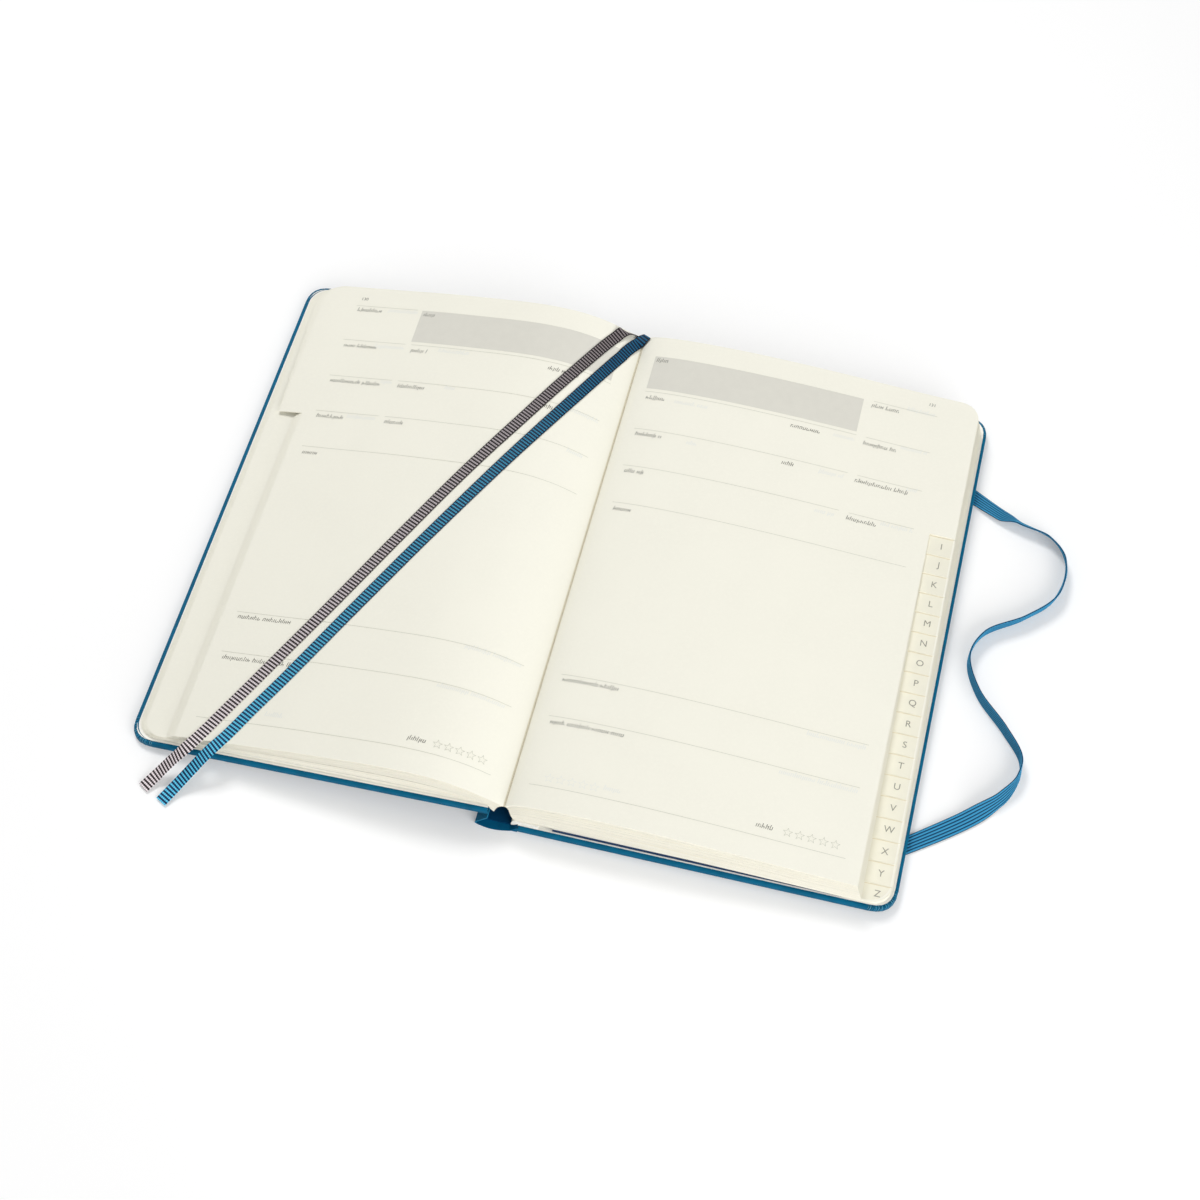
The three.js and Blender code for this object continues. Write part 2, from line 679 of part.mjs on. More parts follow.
function addRibbon(name, route, layer, look, journal) {
  const heightAt = (x, y) => leftPageAt(x).height + ribbonLift(y, layer);
  const points = [
    ...route.onPage.map(([across, along]) => {
      const [x, y] = [-across * COVER_W, along * PAGE_H];
      return new THREE.Vector3(x, y, heightAt(x, y));
    }),
    ...route.hanging.map(([across, drop, height]) => (
      new THREE.Vector3(-across * COVER_W, -HEAD_Y - drop, height)
    )),
  ];
  const tilted = (x) => new THREE.Vector3(1, 0, leftPageAt(x).slope);
  const curve = new THREE.CatmullRomCurve3(points, false, 'centripetal');
  const stations = stationsAlong(points, RIBBON_STEPS, (along, share) => {
    const place = curve.getPoint(share);
    const onPage = THREE.MathUtils.smoothstep(place.y, -HEAD_Y - RIBBON_W, -HEAD_Y);
    return new THREE.Vector3(1, 0, 0).lerp(tilted(place.x), onPage);
  });
  for (const { centre } of stations) {
    if (centre.y > -HEAD_Y) centre.z = Math.max(centre.z, heightAt(centre.x, centre.y));
  }
  part(name, bandGeometry(stations, RIBBON_W, RIBBON_T), look, journal);
}

// Assembly

const journal = new THREE.Group();

const frontHalf = new THREE.Group();
frontHalf.position.set(FRONT_EDGE_X, 0, FRONT_HINGE_Z);
frontHalf.rotation.y = -FRONT_COVER_TILT;
journal.add(frontHalf);
addCover('front', -1, [], frontHalf);
addLeftLeaves(frontHalf);

const backHalf = new THREE.Group();
backHalf.position.set(SPINE_EDGE_X, 0, 0);
backHalf.rotation.y = -BACK_COVER_TILT;
journal.add(backHalf);
addCover('back', 1, [slotHole(1), slotHole(-1)], backHalf);
addPocket(backHalf);
addRightLeaves(backHalf);
addElasticAnchor('elastic_head_anchor', 1, backHalf);
addElasticAnchor('elastic_tail_anchor', -1, backHalf);

addSpine(journal);
addElasticLoop(journal);
addRibbon('ribbon_taupe', TAUPE_ROUTE, 0, RIBBON_TAUPE, journal);
addRibbon('ribbon_blue', BLUE_ROUTE, 1, RIBBON_BLUE, journal);

export default journal;
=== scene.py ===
"""An open hardcover journal with a stepped thumb index, dressed on its packed frame.

Lengths in this file are in millimetres and become metres when a mesh is made. +X runs across
the spread to the right, +Y to the head of the pages, +Z up from the table.
"""
import math

import bpy
import numpy as np
from mathutils import Matrix


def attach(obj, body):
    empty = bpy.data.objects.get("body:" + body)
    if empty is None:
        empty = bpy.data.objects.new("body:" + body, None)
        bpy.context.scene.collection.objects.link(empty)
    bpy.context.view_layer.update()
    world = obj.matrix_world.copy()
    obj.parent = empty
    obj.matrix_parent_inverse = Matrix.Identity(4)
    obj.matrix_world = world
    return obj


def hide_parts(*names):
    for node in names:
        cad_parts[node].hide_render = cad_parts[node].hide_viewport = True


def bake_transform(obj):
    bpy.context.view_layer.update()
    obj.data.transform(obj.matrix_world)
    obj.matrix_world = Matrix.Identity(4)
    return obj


bl_info = {
    "name": "Hardcover Journal",
    "version": (1, 0, 0),
    "blender": (4, 5, 0),
    "location": "View3D > Sidebar > Journal",
    "description": "Builds an open journal with a thumb index, ribbon markers and an elastic",
    "category": "Add Mesh",
}

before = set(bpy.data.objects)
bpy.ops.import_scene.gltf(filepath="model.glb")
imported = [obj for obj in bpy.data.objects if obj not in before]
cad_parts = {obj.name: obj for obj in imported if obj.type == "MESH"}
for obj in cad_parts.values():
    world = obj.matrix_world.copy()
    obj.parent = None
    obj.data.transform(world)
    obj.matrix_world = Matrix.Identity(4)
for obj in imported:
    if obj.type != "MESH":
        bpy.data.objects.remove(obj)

MM = 0.001


def linear(code):
    """An sRGB hex colour as three linear values."""
    values = [int(code[i:i + 2], 16) / 255 for i in (1, 3, 5)]
    return tuple(v / 12.92 if v <= 0.04045 else ((v + 0.055) / 1.055) ** 2.4 for v in values)


# Settings


def colour(name, description, code):
    return bpy.props.FloatVectorProperty(
        name=name, description=description, subtype="COLOR", size=3, min=0, max=1,
        default=linear(code),
    )


def length(name, description, default):
    return bpy.props.FloatProperty(name=name, description=description, default=default, min=0)


class JournalCase(bpy.types.PropertyGroup):
    """The cover, the spine and the pocket."""

    cover: colour("Cover", "Leatherette on both covers", "#005F82")
    spine: colour("Spine cloth", "Cloth between the two covers", "#005A80")
    gusset: colour("Gusset", "Cloth at the ends of the pocket", "#1F3F69")
    grain: length("Grain", "Width of one pebble of the leatherette in millimetres", 0.45)
    cloth_t: length("Cloth thickness", "Thickness of the spine cloth in millimetres", 0.32)


class JournalPaper(bpy.types.PropertyGroup):
    """The leaves and what is printed on them."""

    page: colour("Page", "Uncoated cream paper", "#F1EFE2")
    edge: colour("Cut edge", "The cut edges of the leaves", "#FFFBEC")
    tab: colour("Index tab", "Tint printed on the tabs of the index", "#ECE9D8")
    ink: colour("Ink", "Labels and page numbers", "#7C7B73")
    letter: colour("Index letters", "Letters on the tabs", "#9B998D")
    rule: colour("Rules", "Thin rules and stars", "#CDCDBE")
    box: colour("Title box", "Grey tint of the title box", "#DAD8CE")
    ghost: colour("Show-through", "Print seen from the back of the page", "#E9EAE3")
    group: length("Leaf group", "Thickness of the groups the leaves fall in, in millimetres", 0.27)


class JournalBands(bpy.types.PropertyGroup):
    """The elastic and the two ribbon markers."""

    ribbon_w: length("Ribbon width", "Width of a ribbon marker in millimetres", 4.5)
    ribbon_t: length("Ribbon thickness", "Thickness of a ribbon marker in millimetres", 0.3)
    # The real ribs are 1.16 mm apart, which is too fine to show at the head in the picture.
    rib_pitch: length("Rib pitch", "Distance from rib to rib along a ribbon in millimetres", 1.3)
    elastic_w: length("Elastic width", "Width of the elastic in millimetres", 6.3)
    elastic_t: length("Elastic thickness", "Thickness of the elastic in millimetres", 0.7)
    elastic_ribs: bpy.props.IntProperty(
        name="Elastic ribs", description="Lengthwise ribs of the elastic", default=6, min=1)
    # The ground of each ribbon runs from its dull colour at the head to its light one at the loose
    # end: a painted sheen along the ribbon, with painted shade at the head.
    taupe_dark: colour("Taupe ribs", "Dark ribs of the taupe ribbon", "#2E2527")
    taupe_light: colour("Taupe ground", "Light ground of the taupe ribbon", "#DDD3D6")
    taupe_shaded_end: colour("Taupe ground in the book", "Dull end of the taupe ribbon", "#8F8688")
    blue_dark: colour("Blue ribs", "Dark ribs of the blue ribbon", "#0A3056")
    blue_light: colour("Blue ground", "Light ground of the blue ribbon", "#58BBDD")
    blue_shaded_end: colour("Blue ground in the book", "Dull end of the blue ribbon", "#1F6288")
    elastic: colour("Elastic", "Ribs of the elastic", "#3A95C2")
    elastic_groove: colour("Elastic groove", "Grooves of the elastic", "#022C4C")


class JournalStage(bpy.types.PropertyGroup):
    """The camera, the floor and the light."""

    azimuth: bpy.props.FloatProperty(
        name="Azimuth", description="Camera's turn round the journal",
        default=math.radians(12.714), subtype="ANGLE")
    elevation: bpy.props.FloatProperty(
        name="Elevation", description="Camera's height over the table",
        default=math.radians(58.086), subtype="ANGLE")
    roll: bpy.props.FloatProperty(
        name="Roll", description="Camera's turn about its own axis",
        default=math.radians(1.364), subtype="ANGLE")
    distance: bpy.props.FloatProperty(
        name="Distance", description="From the camera to the point it looks at",
        default=0.8193, subtype="DISTANCE", unit="LENGTH")
    target: bpy.props.FloatVectorProperty(
        name="Target", description="Point on the table that the camera looks at",
        default=(0.01003, -0.007476, 0), subtype="TRANSLATION", unit="LENGTH")
    lens: bpy.props.FloatProperty(
        name="Focal length", description="Lens, in millimetres on a 36 mm sensor", default=67.72)
    key: bpy.props.FloatProperty(
        name="Key light", description="Power of the lamp at the back on the left", default=7.6,
        subtype="POWER")
    fill: bpy.props.FloatProperty(
        name="Fill light", description="Power of the large lamp in front on the right",
        default=11.8, subtype="POWER")
    sky: bpy.props.FloatProperty(
        name="Sky", description="Strength of the even white surround", default=0.39, min=0)


# Meshes


def new_object(name, points, faces):
    """A mesh object from points in millimetres and a face list."""
    mesh = bpy.data.meshes.new(name)
    mesh.from_pydata((np.asarray(points) * MM).tolist(), [], faces)
    mesh.validate()
    made = bpy.data.objects.new(name, mesh)
    bpy.context.scene.collection.objects.link(made)
    return made


def finish_piece(made, body, materials, uvs=None, which=None, sharp=35, nodes=()):
    """Gives a mesh its materials, UVs, shading and body, and hides the CAD nodes it stands for."""
    mesh = made.data
    for material in materials:
        mesh.materials.append(material)
    if which is not None:
        mesh.polygons.foreach_set("material_index", np.asarray(which, np.int32))
    if uvs is not None:
        corner = np.zeros(len(mesh.loops), np.int32)
        mesh.loops.foreach_get("vertex_index", corner)
        layer = mesh.uv_layers.new(name="UVMap")
        layer.data.foreach_set("uv", np.asarray(uvs, np.float32)[corner].ravel())
    mesh.shade_smooth()
    mesh.set_sharp_from_angle(angle=math.radians(sharp))
    if isinstance(body, str):
        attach(made, body)
    if nodes:
        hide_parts(*nodes)
    return made


def grid_faces(rows, columns, closed=False):
    """Quads over a grid of rows by columns points. closed joins the last column to the first."""
    index = np.arange(rows * columns).reshape(rows, columns)
    if closed:
        index = np.concatenate([index, index[:, :1]], 1)
    a, b, c, d = index[:-1, :-1], index[:-1, 1:], index[1:, 1:], index[1:, :-1]
    return np.stack([a, b, c, d], -1).reshape(-1, 4)


def slab_arrays(lower, upper, cells):
    """A closed slab over the true cells of a grid.

    lower and upper are (rows, columns, 3) points with rows along +Y and columns along +X. The
    slab has a bottom and a top face on each true cell, and a wall where a true cell meets a
    false one or the border. Returns points, quads, True for each quad of a wall, and which of
    the given points were used.
    """
    rows, columns = cells.shape
    count = (rows + 1) * (columns + 1)
    index = np.arange(count).reshape(rows + 1, columns + 1)
    a, b, c, d = index[:-1, :-1], index[:-1, 1:], index[1:, 1:], index[1:, :-1]
    flats = [np.stack([a, b, c, d], -1)[cells] + count, np.stack([a, d, c, b], -1)[cells]]
    padded = np.pad(cells, 1)
    walls = []
    for dr, dc, p, q in ((-1, 0, a, b), (1, 0, c, d), (0, 1, b, c), (0, -1, d, a)):
        beyond = padded[1 + dr:1 + dr + rows, 1 + dc:1 + dc + columns]
        side = cells & ~beyond
        walls.append(np.stack([p[side], q[side], q[side] + count, p[side] + count], -1))
    faces = np.concatenate([*flats, *walls])
    is_wall = np.arange(len(faces)) >= sum(len(f) for f in flats)
    points = np.concatenate([lower.reshape(-1, 3), upper.reshape(-1, 3)])
    used, faces = np.unique(faces, return_inverse=True)
    return points[used], faces.reshape(-1, 4), is_wall, used


def slab_piece(name, low, high, body, slot, material, nodes=()):
    """A finished piece that is a closed slab between two grids of points."""
    cells = np.ones((low.shape[0] - 1, low.shape[1] - 1), bool)
    points, faces, _, _ = slab_arrays(low, high, cells)
    made = new_object(name, points, faces.tolist())
    return finish_piece(made, body, [material], nodes=nodes)


# The shape of the leaves

COVER_W, COVER_H, COVER_T, COVER_CORNER_R = 130.0, 210.0, 2.88, 8.7
HALF_PAGE, PAGE_CORNER_R, INNER_FACE_Z, SPINE_X = 103.0, 7.0, 3.09, 5.0
TAB_COUNT, TAB_DEPTH = 26, 9.4
TAB_PITCH = 2 * HALF_PAGE / TAB_COUNT
TABS_TO_H = 8
FAN_REACH, SHOULDER_REACH = 0.14, 0.03
PASTEDOWN_MARGIN = 1.2
BODY_STEPS = 40

# Each half as its leaves lie on its cover. top and bottom are the reaches of both ends of the
# top and the bottom leaf. bed is the height of the bottom leaf over the cover, and swell gives
# the open page as shares of its width and of the thickness. tilt is the cover's lean in
# degrees, drop the depth, width and power by which low leaves hang over the spine edge, skew
# the way that they swing out to the tail, and first_tab the end of the H and the pitch after it.
LEFT = {
    "side": -1, "thickness": 13.1, "bed": 0.3, "top": (-5.65, 121.2), "bottom": (-1.5, 127.6),
    "swell": [(0, 0.1), (0.03, 0.27), (0.062, 0.44), (0.1, 0.635), (0.145, 0.8), (0.205, 0.935),
              (0.29, 1), (0.37, 0.98), (0.47, 0.905), (0.61, 0.78), (0.77, 0.585), (0.93, 0.397),
              (1, 0.3)],
    "tilt": 3.66, "body": "front_half", "fan": 0.09, "drop": (4.2, 1.5, 0.3), "shoulder": 0.0,
    "skew": 0.0, "first_tab": (39.615, TAB_PITCH),
}
RIGHT = {
    "side": 1, "thickness": 15.0, "bed": 1.6, "top": (-4.57, 125.6), "bottom": (-1.9, 128.0),
    "swell": [(0, 0.667), (0.011, 0.773), (0.03, 0.853), (0.073, 0.93), (0.165, 0.99), (0.31, 1),
              (0.46, 0.953), (0.61, 0.87), (0.757, 0.767), (0.88, 0.69), (1, 0.633)],
    "tilt": 0.5, "body": "back_half", "fan": 0.0, "drop": (0.0, 1.0, 1.0), "shoulder": 2.7,
    "skew": 1.5, "first_tab": (41.2, 8.09),
}
BACK_REACH = SPINE_X + COVER_W * math.cos(math.radians(RIGHT["tilt"]))
_LEFT_TILT = math.radians(LEFT["tilt"])
LEFT["edge"] = (
    COVER_W * math.cos(_LEFT_TILT) + COVER_T * math.sin(_LEFT_TILT) - BACK_REACH,
    COVER_W * math.sin(_LEFT_TILT),
)
RIGHT["edge"] = (SPINE_X, 0.0)


def uniform_spline(points, count):
    """Points along a Catmull-Rom curve through the given points, evenly in its parameter.

    Between points 1 and 2 it is the cubic whose slopes there are half of 2 - 0 and 3 - 1.
    """
    p = np.asarray(points, float)
    p = np.concatenate([p[:1], p, p[-1:]])
    place = np.linspace(0, len(points) - 1, count)
    k = np.minimum(place.astype(int), len(points) - 2)
    t = (place - k)[:, None]
    a, b, c, d = p[k], p[k + 1], p[k + 2], p[k + 3]
    v, w = (c - a) / 2, (d - b) / 2
    return (2 * b - 2 * c + v + w) * t**3 + (3 * c - 3 * b - 2 * v - w) * t**2 + v * t + b


def stack_curve(stack, share):
    """Reach from the spine edge and height of one leaf's surface, at a share of the stack.

    The reach runs between a line from bottom to top leaf at each share of the page's width; the
    height runs from the bed to the swell of the open page. The fan lifts the leaves in the
    middle of the stack as they leave the spine, which opens a gap under them. The shoulder
    makes the spine side of the stack steep and rounds it at the top, and the drop lets the low
    leaves hang over the spine edge of the cover.
    """
    across, rise = np.array(stack["swell"]).T
    top = stack["top"][0] + (stack["top"][1] - stack["top"][0]) * across
    bottom = stack["bottom"][0] + (stack["bottom"][1] - stack["bottom"][0]) * across
    risen = share + stack["fan"] * 4 * share * (1 - share) * (1 - np.exp(-across / FAN_REACH))
    height = stack["bed"] + (rise * stack["thickness"] - stack["bed"]) * risen
    reach = bottom + (top - bottom) * share
    reach = reach + stack["shoulder"] * (share**3 - share**6) * np.exp(
        -across / SHOULDER_REACH)
    curve = uniform_spline(np.stack([reach, INNER_FACE_Z + height], -1), 241)
    depth, width, power = stack["drop"]
    curve[:, 1] -= depth * (1 - share) ** 3 * np.clip(-curve[:, 0] / width, 0, 1) ** power
    return curve


def placed(stack, reach, y, height):
    """Points of a half in the journal's frame: tilted about the spine edge of its cover."""
    tilt = math.radians(-stack["tilt"])
    x0, z0 = stack["edge"]
    x = stack["side"] * np.asarray(reach, float)
    c, s = math.cos(tilt), math.sin(tilt)
    return np.stack(np.broadcast_arrays(x0 + x * c + height * s, y, z0 - x * s + height * c), -1)


def open_page(stack):
    """The open page as a table of world x against height, for what lies on it."""
    curve = stack_curve(stack, 1)
    points = placed(stack, curve[:, 0], 0, curve[:, 1])
    order = np.argsort(points[:, 0])
    return points[order, 0], points[order, 2]


PAGES = {-1: open_page(LEFT), 1: open_page(RIGHT)}
GUTTER_X = 0.31


def page_height(side, x):
    return np.interp(x, *PAGES[side])


def tab_line(stack, number):
    """Where the tab of a letter begins: the page is divided evenly from the head to the end
    of the H, and after it by the pitch that the open side shows."""
    end, pitch = stack["first_tab"]
    if number <= TABS_TO_H:
        return HALF_PAGE - number * (HALF_PAGE - end) / TABS_TO_H
    return end - (number - TABS_TO_H) * pitch


def leaf_slab(stack, low, high, section, rows, jitter):
    """A group of leaves between two shares of its stack.

    The grid's columns run from the gutter to the fore-edge, closer together at the gutter, and
    its rows from tail to head. The plan is rounded at the fore-edge corners, and cut back by
    the depth of the tabs below the end of the group's own tab.
    """
    dy, dx = jitter
    half = HALF_PAGE + dy
    curves = [stack_curve(stack, share) for share in (low, high)]
    fore = max(c[-1, 0] for c in curves) + dx
    inner = fore - TAB_DEPTH
    tab_end = tab_line(stack, section + 1)
    cut = section < TAB_COUNT - 1
    turn = half - PAGE_CORNER_R * (1 - np.sin(np.linspace(0, math.pi / 2, 7)))
    span = np.linspace(-half + PAGE_CORNER_R, half - PAGE_CORNER_R, rows)
    ys = np.unique(np.round(np.concatenate([-turn, turn, span, [tab_end] if cut else []]), 5))
    into = np.maximum(np.abs(ys) - (half - PAGE_CORNER_R), 0)
    round_off = PAGE_CORNER_R - np.sqrt(np.maximum(PAGE_CORNER_R**2 - into**2, 0))
    body = np.linspace(0, 1, BODY_STEPS) ** 1.8
    rim = np.linspace(0, 1, 5)[1:]
    layers = []
    for curve in curves:
        start = curve[0, 0]
        reach = np.concatenate([start + (inner - start) * body, inner + TAB_DEPTH * rim])
        reach = np.repeat(reach[None], len(ys), 0)
        reach[:, BODY_STEPS:] = inner + (TAB_DEPTH - round_off[:, None]) * rim
        layers.append((reach, np.interp(reach, curve[:, 0], curve[:, 1])))
    cells = np.ones((len(ys) - 1, reach.shape[1] - 1), bool)
    if cut:
        cells[ys[:-1] < tab_end - 1e-4, BODY_STEPS - 1:] = False
    grids = [
        placed(stack, reach, ys[:, None] - skewed(stack, reach, share), height)
        for (reach, height), share in zip(layers, (low, high))]
    if stack["side"] < 0:
        grids, cells = [g[:, ::-1] for g in grids], cells[:, ::-1]
    points, faces, is_wall, used = slab_arrays(grids[0], grids[1], cells)
    layer_share = np.where(used < grids[0].shape[0] * grids[0].shape[1], low, high)
    along = np.stack([points[:, 0] + points[:, 1], layer_share * stack["thickness"]], -1)
    return points, faces, is_wall, along


def skewed(stack, reach, share):
    """How far a leaf is shifted to the tail: the low leaves swing out at the fore-edge, by the
    square of the reach."""
    return stack["skew"] * (1 - share) * (np.maximum(reach, 0) / 128) ** 2


def group_count(stack, band, group):
    return max(1, round((band[1] - band[0]) * stack["thickness"] / group))


GROUP_FILL = 0.96


def leaf_bundle(name, stack, band, section, rng, rows, materials, group):
    """One bundle as a few groups of leaves a hair apart, each but the open page a little out
    of line."""
    low, high = band
    count = group_count(stack, band, group)
    pitch = (high - low) / count
    alone = name.startswith("leaf_page")
    parts = []
    for k in range(count):
        jitter = (0, 0) if alone else (rng.normal(0, 0.035) - 0.06, rng.normal(0, 0.05) - 0.08)
        base = low + k * pitch
        parts.append(leaf_slab(stack, base, base + pitch * GROUP_FILL, section, rows, jitter))
    points, faces, walls, uvs = joined(parts)
    made = new_object(name + "_leaves", points, faces.tolist())
    return finish_piece(made, stack["body"], materials, uvs * MM, walls,
                        nodes=(name,))


def joined(parts):
    """Arrays of several meshes as one: points, faces, a flag per face and a UV per point."""
    starts = np.cumsum([0] + [len(p[0]) for p in parts[:-1]])
    return (
        np.concatenate([p[0] for p in parts]),
        np.concatenate([p[1] + s for p, s in zip(parts, starts)]),
        np.concatenate([p[2] for p in parts]),
        np.concatenate([p[3] for p in parts]),
    )


def section_bands(first, last, low, high):
    """Name, band and place in the index of each section from one letter to another."""
    step = 1 if last > first else -1
    letters = [chr(c) for c in range(ord(first), ord(last) + step, step)]
    pitch = (high - low) / len(letters)
    return [("section_" + letter, (low + i * pitch, low + (i + 1) * pitch - 0.01),
             ord(letter) - ord("a")) for i, letter in enumerate(letters)]


FULL = TAB_COUNT - 1
LEFT_ROWS = [
    ("front_flyleaf", (0, 0.1), FULL), ("front_matter", (0.13, 0.4), FULL),
    *section_bands("a", "g", 0.435, 0.9),
    ("section_h_left", (0.9, 0.97), 7), ("leaf_page_130", (0.975, 1), 7),
]
RIGHT_ROWS = [
    ("back_flyleaf", (0, 0.02), FULL), ("back_matter", (0.03, 0.135), FULL),
    *section_bands("z", "i", 0.145, 0.92),
    ("section_h_right", (0.92, 0.98), 7), ("leaf_page_131", (0.985, 1), 7),
]


# Bands along a route


def chordal_spline(points, count):
    """Points along a centripetal Catmull-Rom curve, evenly in its parameter.

    The knots are spaced by the square root of the chords, and the ends are extended by
    reflection.
    """
    p = np.asarray(points, float)
    p = np.concatenate([2 * p[:1] - p[1:2], p, 2 * p[-1:] - p[-2:-1]])
    place = np.linspace(0, len(points) - 1, count)
    k = np.minimum(place.astype(int), len(points) - 2)
    t = (place - k)[:, None]
    a, b, c, d = p[k], p[k + 1], p[k + 2], p[k + 3]
    u, v, w = (np.sqrt(np.linalg.norm(q, axis=1))[:, None] for q in (b - a, c - b, d - c))
    m = ((b - a) / u - (c - a) / (u + v) + (c - b) / v) * v
    n = ((c - b) / v - (d - b) / (v + w) + (d - c) / w) * v
    return (2 * b - 2 * c + m + n) * t**3 + (3 * c - 3 * b - 2 * m - n) * t**2 + m * t + b


def unit(vectors):
    return vectors / np.linalg.norm(vectors, axis=-1, keepdims=True)


def carried_band(centre, across, width, profile, pitch=0.0):
    """A closed profile carried along a path, with both ends closed by fans.

    profile is a loop of (share of half the width, height) pairs. Each point of the surface is
    the path's point plus across times the first and the normal times the second. The UV is the
    place across in millimetres and the length travelled. With a pitch, the heights grow and
    shrink by a fifth along the path as a sine of the length travelled.
    """
    along = unit(np.gradient(centre, axis=0))
    across = unit(across - (across * along).sum(-1, keepdims=True) * along)
    normal = np.cross(along, across)
    side, lift = np.asarray(profile, float).T
    travelled = np.concatenate([[0], np.cumsum(np.linalg.norm(np.diff(centre, axis=0), axis=1))])
    rib = 1 + 0.2 * np.sin(2 * math.pi * travelled / pitch) if pitch else np.ones(len(centre))
    ring = (centre[:, None] + across[:, None] * (side * width / 2)[None, :, None]
            + normal[:, None] * (rib[:, None] * lift)[:, :, None])
    steps, loop = ring.shape[:2]
    uv = np.stack(np.broadcast_arrays((side * width / 2)[None], travelled[:, None]), -1)
    points = np.concatenate([ring.reshape(-1, 3), centre[:1], centre[-1:]])
    uvs = np.concatenate([uv.reshape(-1, 2), [[0, 0], [0, travelled[-1]]]])
    faces = grid_faces(steps, loop, closed=True).tolist()
    last, here = (steps - 1) * loop, np.arange(loop)
    after = (here + 1) % loop
    faces += np.stack([after, here, np.full(loop, steps * loop)], -1).tolist()
    faces += np.stack([last + here, last + after, np.full(loop, steps * loop + 1)], -1).tolist()
    return points, faces, uvs, travelled[-1]


def flat_profile(thickness, count=9, ribs=0, depth=0.0):
    """A flat section with soft edges, run round against the clock.

    Over the top and the bottom the height is half the thickness times a superellipse of the
    place across, less a cosine groove between the ribs.
    """
    side = np.linspace(-1, 1, count)
    bulge = thickness / 2 * (1 - np.abs(side) ** 10) ** 0.5 * 0.85 + thickness * 0.075
    groove = depth * (1 + np.cos(side * math.pi * ribs)) / 2 if ribs else 0
    top = np.stack([side, bulge - groove], -1)
    bottom = np.stack([side[::-1], -(bulge - groove)[::-1]], -1)
    return np.concatenate([bottom[::-1], top[::-1]])


ELASTIC_ROUTE = np.array([
    (130, 73.3, 0), (145.73, 64.79, 14), (153.38, 61.82, 50), (165.56, 57.75, 59),
    (172.1, 47.9, 77), (170.29, 32.13, 101), (160.74, 21.15, 104), (147.2, 10.5, 99),
    (143.78, -0.71, 90), (149.01, -13.78, 90), (160.33, -26.38, 92), (167.59, -36.56, 89),
    (167.72, -44.25, 81), (163.15, -53.36, 61), (151.4, -64.64, 14), (135.395, -77, 0),
    (130, -81, 0),
])
TAUPE_ROUTE = [
    (-4.3, 103.4), (-6.3, 102.6), (-8.3, 100.1), (-10.7, 95.9), (-18.5, 79.4), (-26.1, 63.8),
    (-34.9, 46.1), (-43.7, 29.3), (-51.9, 13.2), (-59.5, -2.4), (-66.9, -17.7), (-74.1, -32.8),
    (-81.3, -47.6), (-88.6, -62.1), (-95.8, -76.4), (-103.0, -90.6), (-109.3, -102.9),
    (-112.3, -107.6, 10.2), (-116.3, -111.3, 6.6), (-120.7, -115.8, 2.3), (-123.9, -120.6, 0.8),
]
BLUE_ROUTE = [
    (-3.2, 103.4), (-3.6, 98.2), (-5.2, 92.4), (-8.4, 84.8), (-15.5, 68.2), (-24.4, 49.1),
    (-33.1, 31.6), (-41.4, 15.0), (-49.4, -0.8), (-57.2, -16.2), (-64.7, -31.4), (-72.0, -46.2),
    (-79.1, -60.8), (-86.2, -75.1), (-93.6, -89.2), (-100.4, -102.4), (-103.5, -106.5, 11.2),
    (-107.9, -111.6, 6.8), (-112.7, -117.9, 2.4), (-116.2, -124.2, 0.8),
]
UP = np.array([0.0, 0.0, 1.0])


def elastic_path(width, thickness, count=420):
    """The free loop: its centre line and side vectors.

    The route gives x, y and the lean; between two points the lean follows a smoothstep, and the
    centre stands as high as half the leaning band.
    """
    flat = chordal_spline(ELASTIC_ROUTE[:, :2], count)
    place = np.linspace(0, len(ELASTIC_ROUTE) - 1, count)
    k = np.minimum(place.astype(int), len(ELASTIC_ROUTE) - 2)
    t = place - k
    t = t * t * (3 - 2 * t)
    lean = np.radians(ELASTIC_ROUTE[k, 2] * (1 - t) + ELASTIC_ROUTE[k + 1, 2] * t)
    height = 0.15 + np.abs(np.sin(lean)) * width / 2 + np.abs(np.cos(lean)) * thickness / 2
    centre = np.column_stack([flat, height])
    along = unit(np.gradient(centre, axis=0))
    side = unit(np.cross(along, UP))
    across = side * np.cos(lean)[:, None] + UP * np.sin(lean)[:, None]
    keep = centre[:, 0] > BACK_REACH - 3.2
    first, last = np.argmax(keep), len(keep) - np.argmax(keep[::-1])
    return centre[first:last], across[first:last]


def lying_height(x):
    """Height of the open pages at world x, on whichever side of the gutter it lies."""
    return np.where(x < GUTTER_X, page_height(-1, x), page_height(1, x))


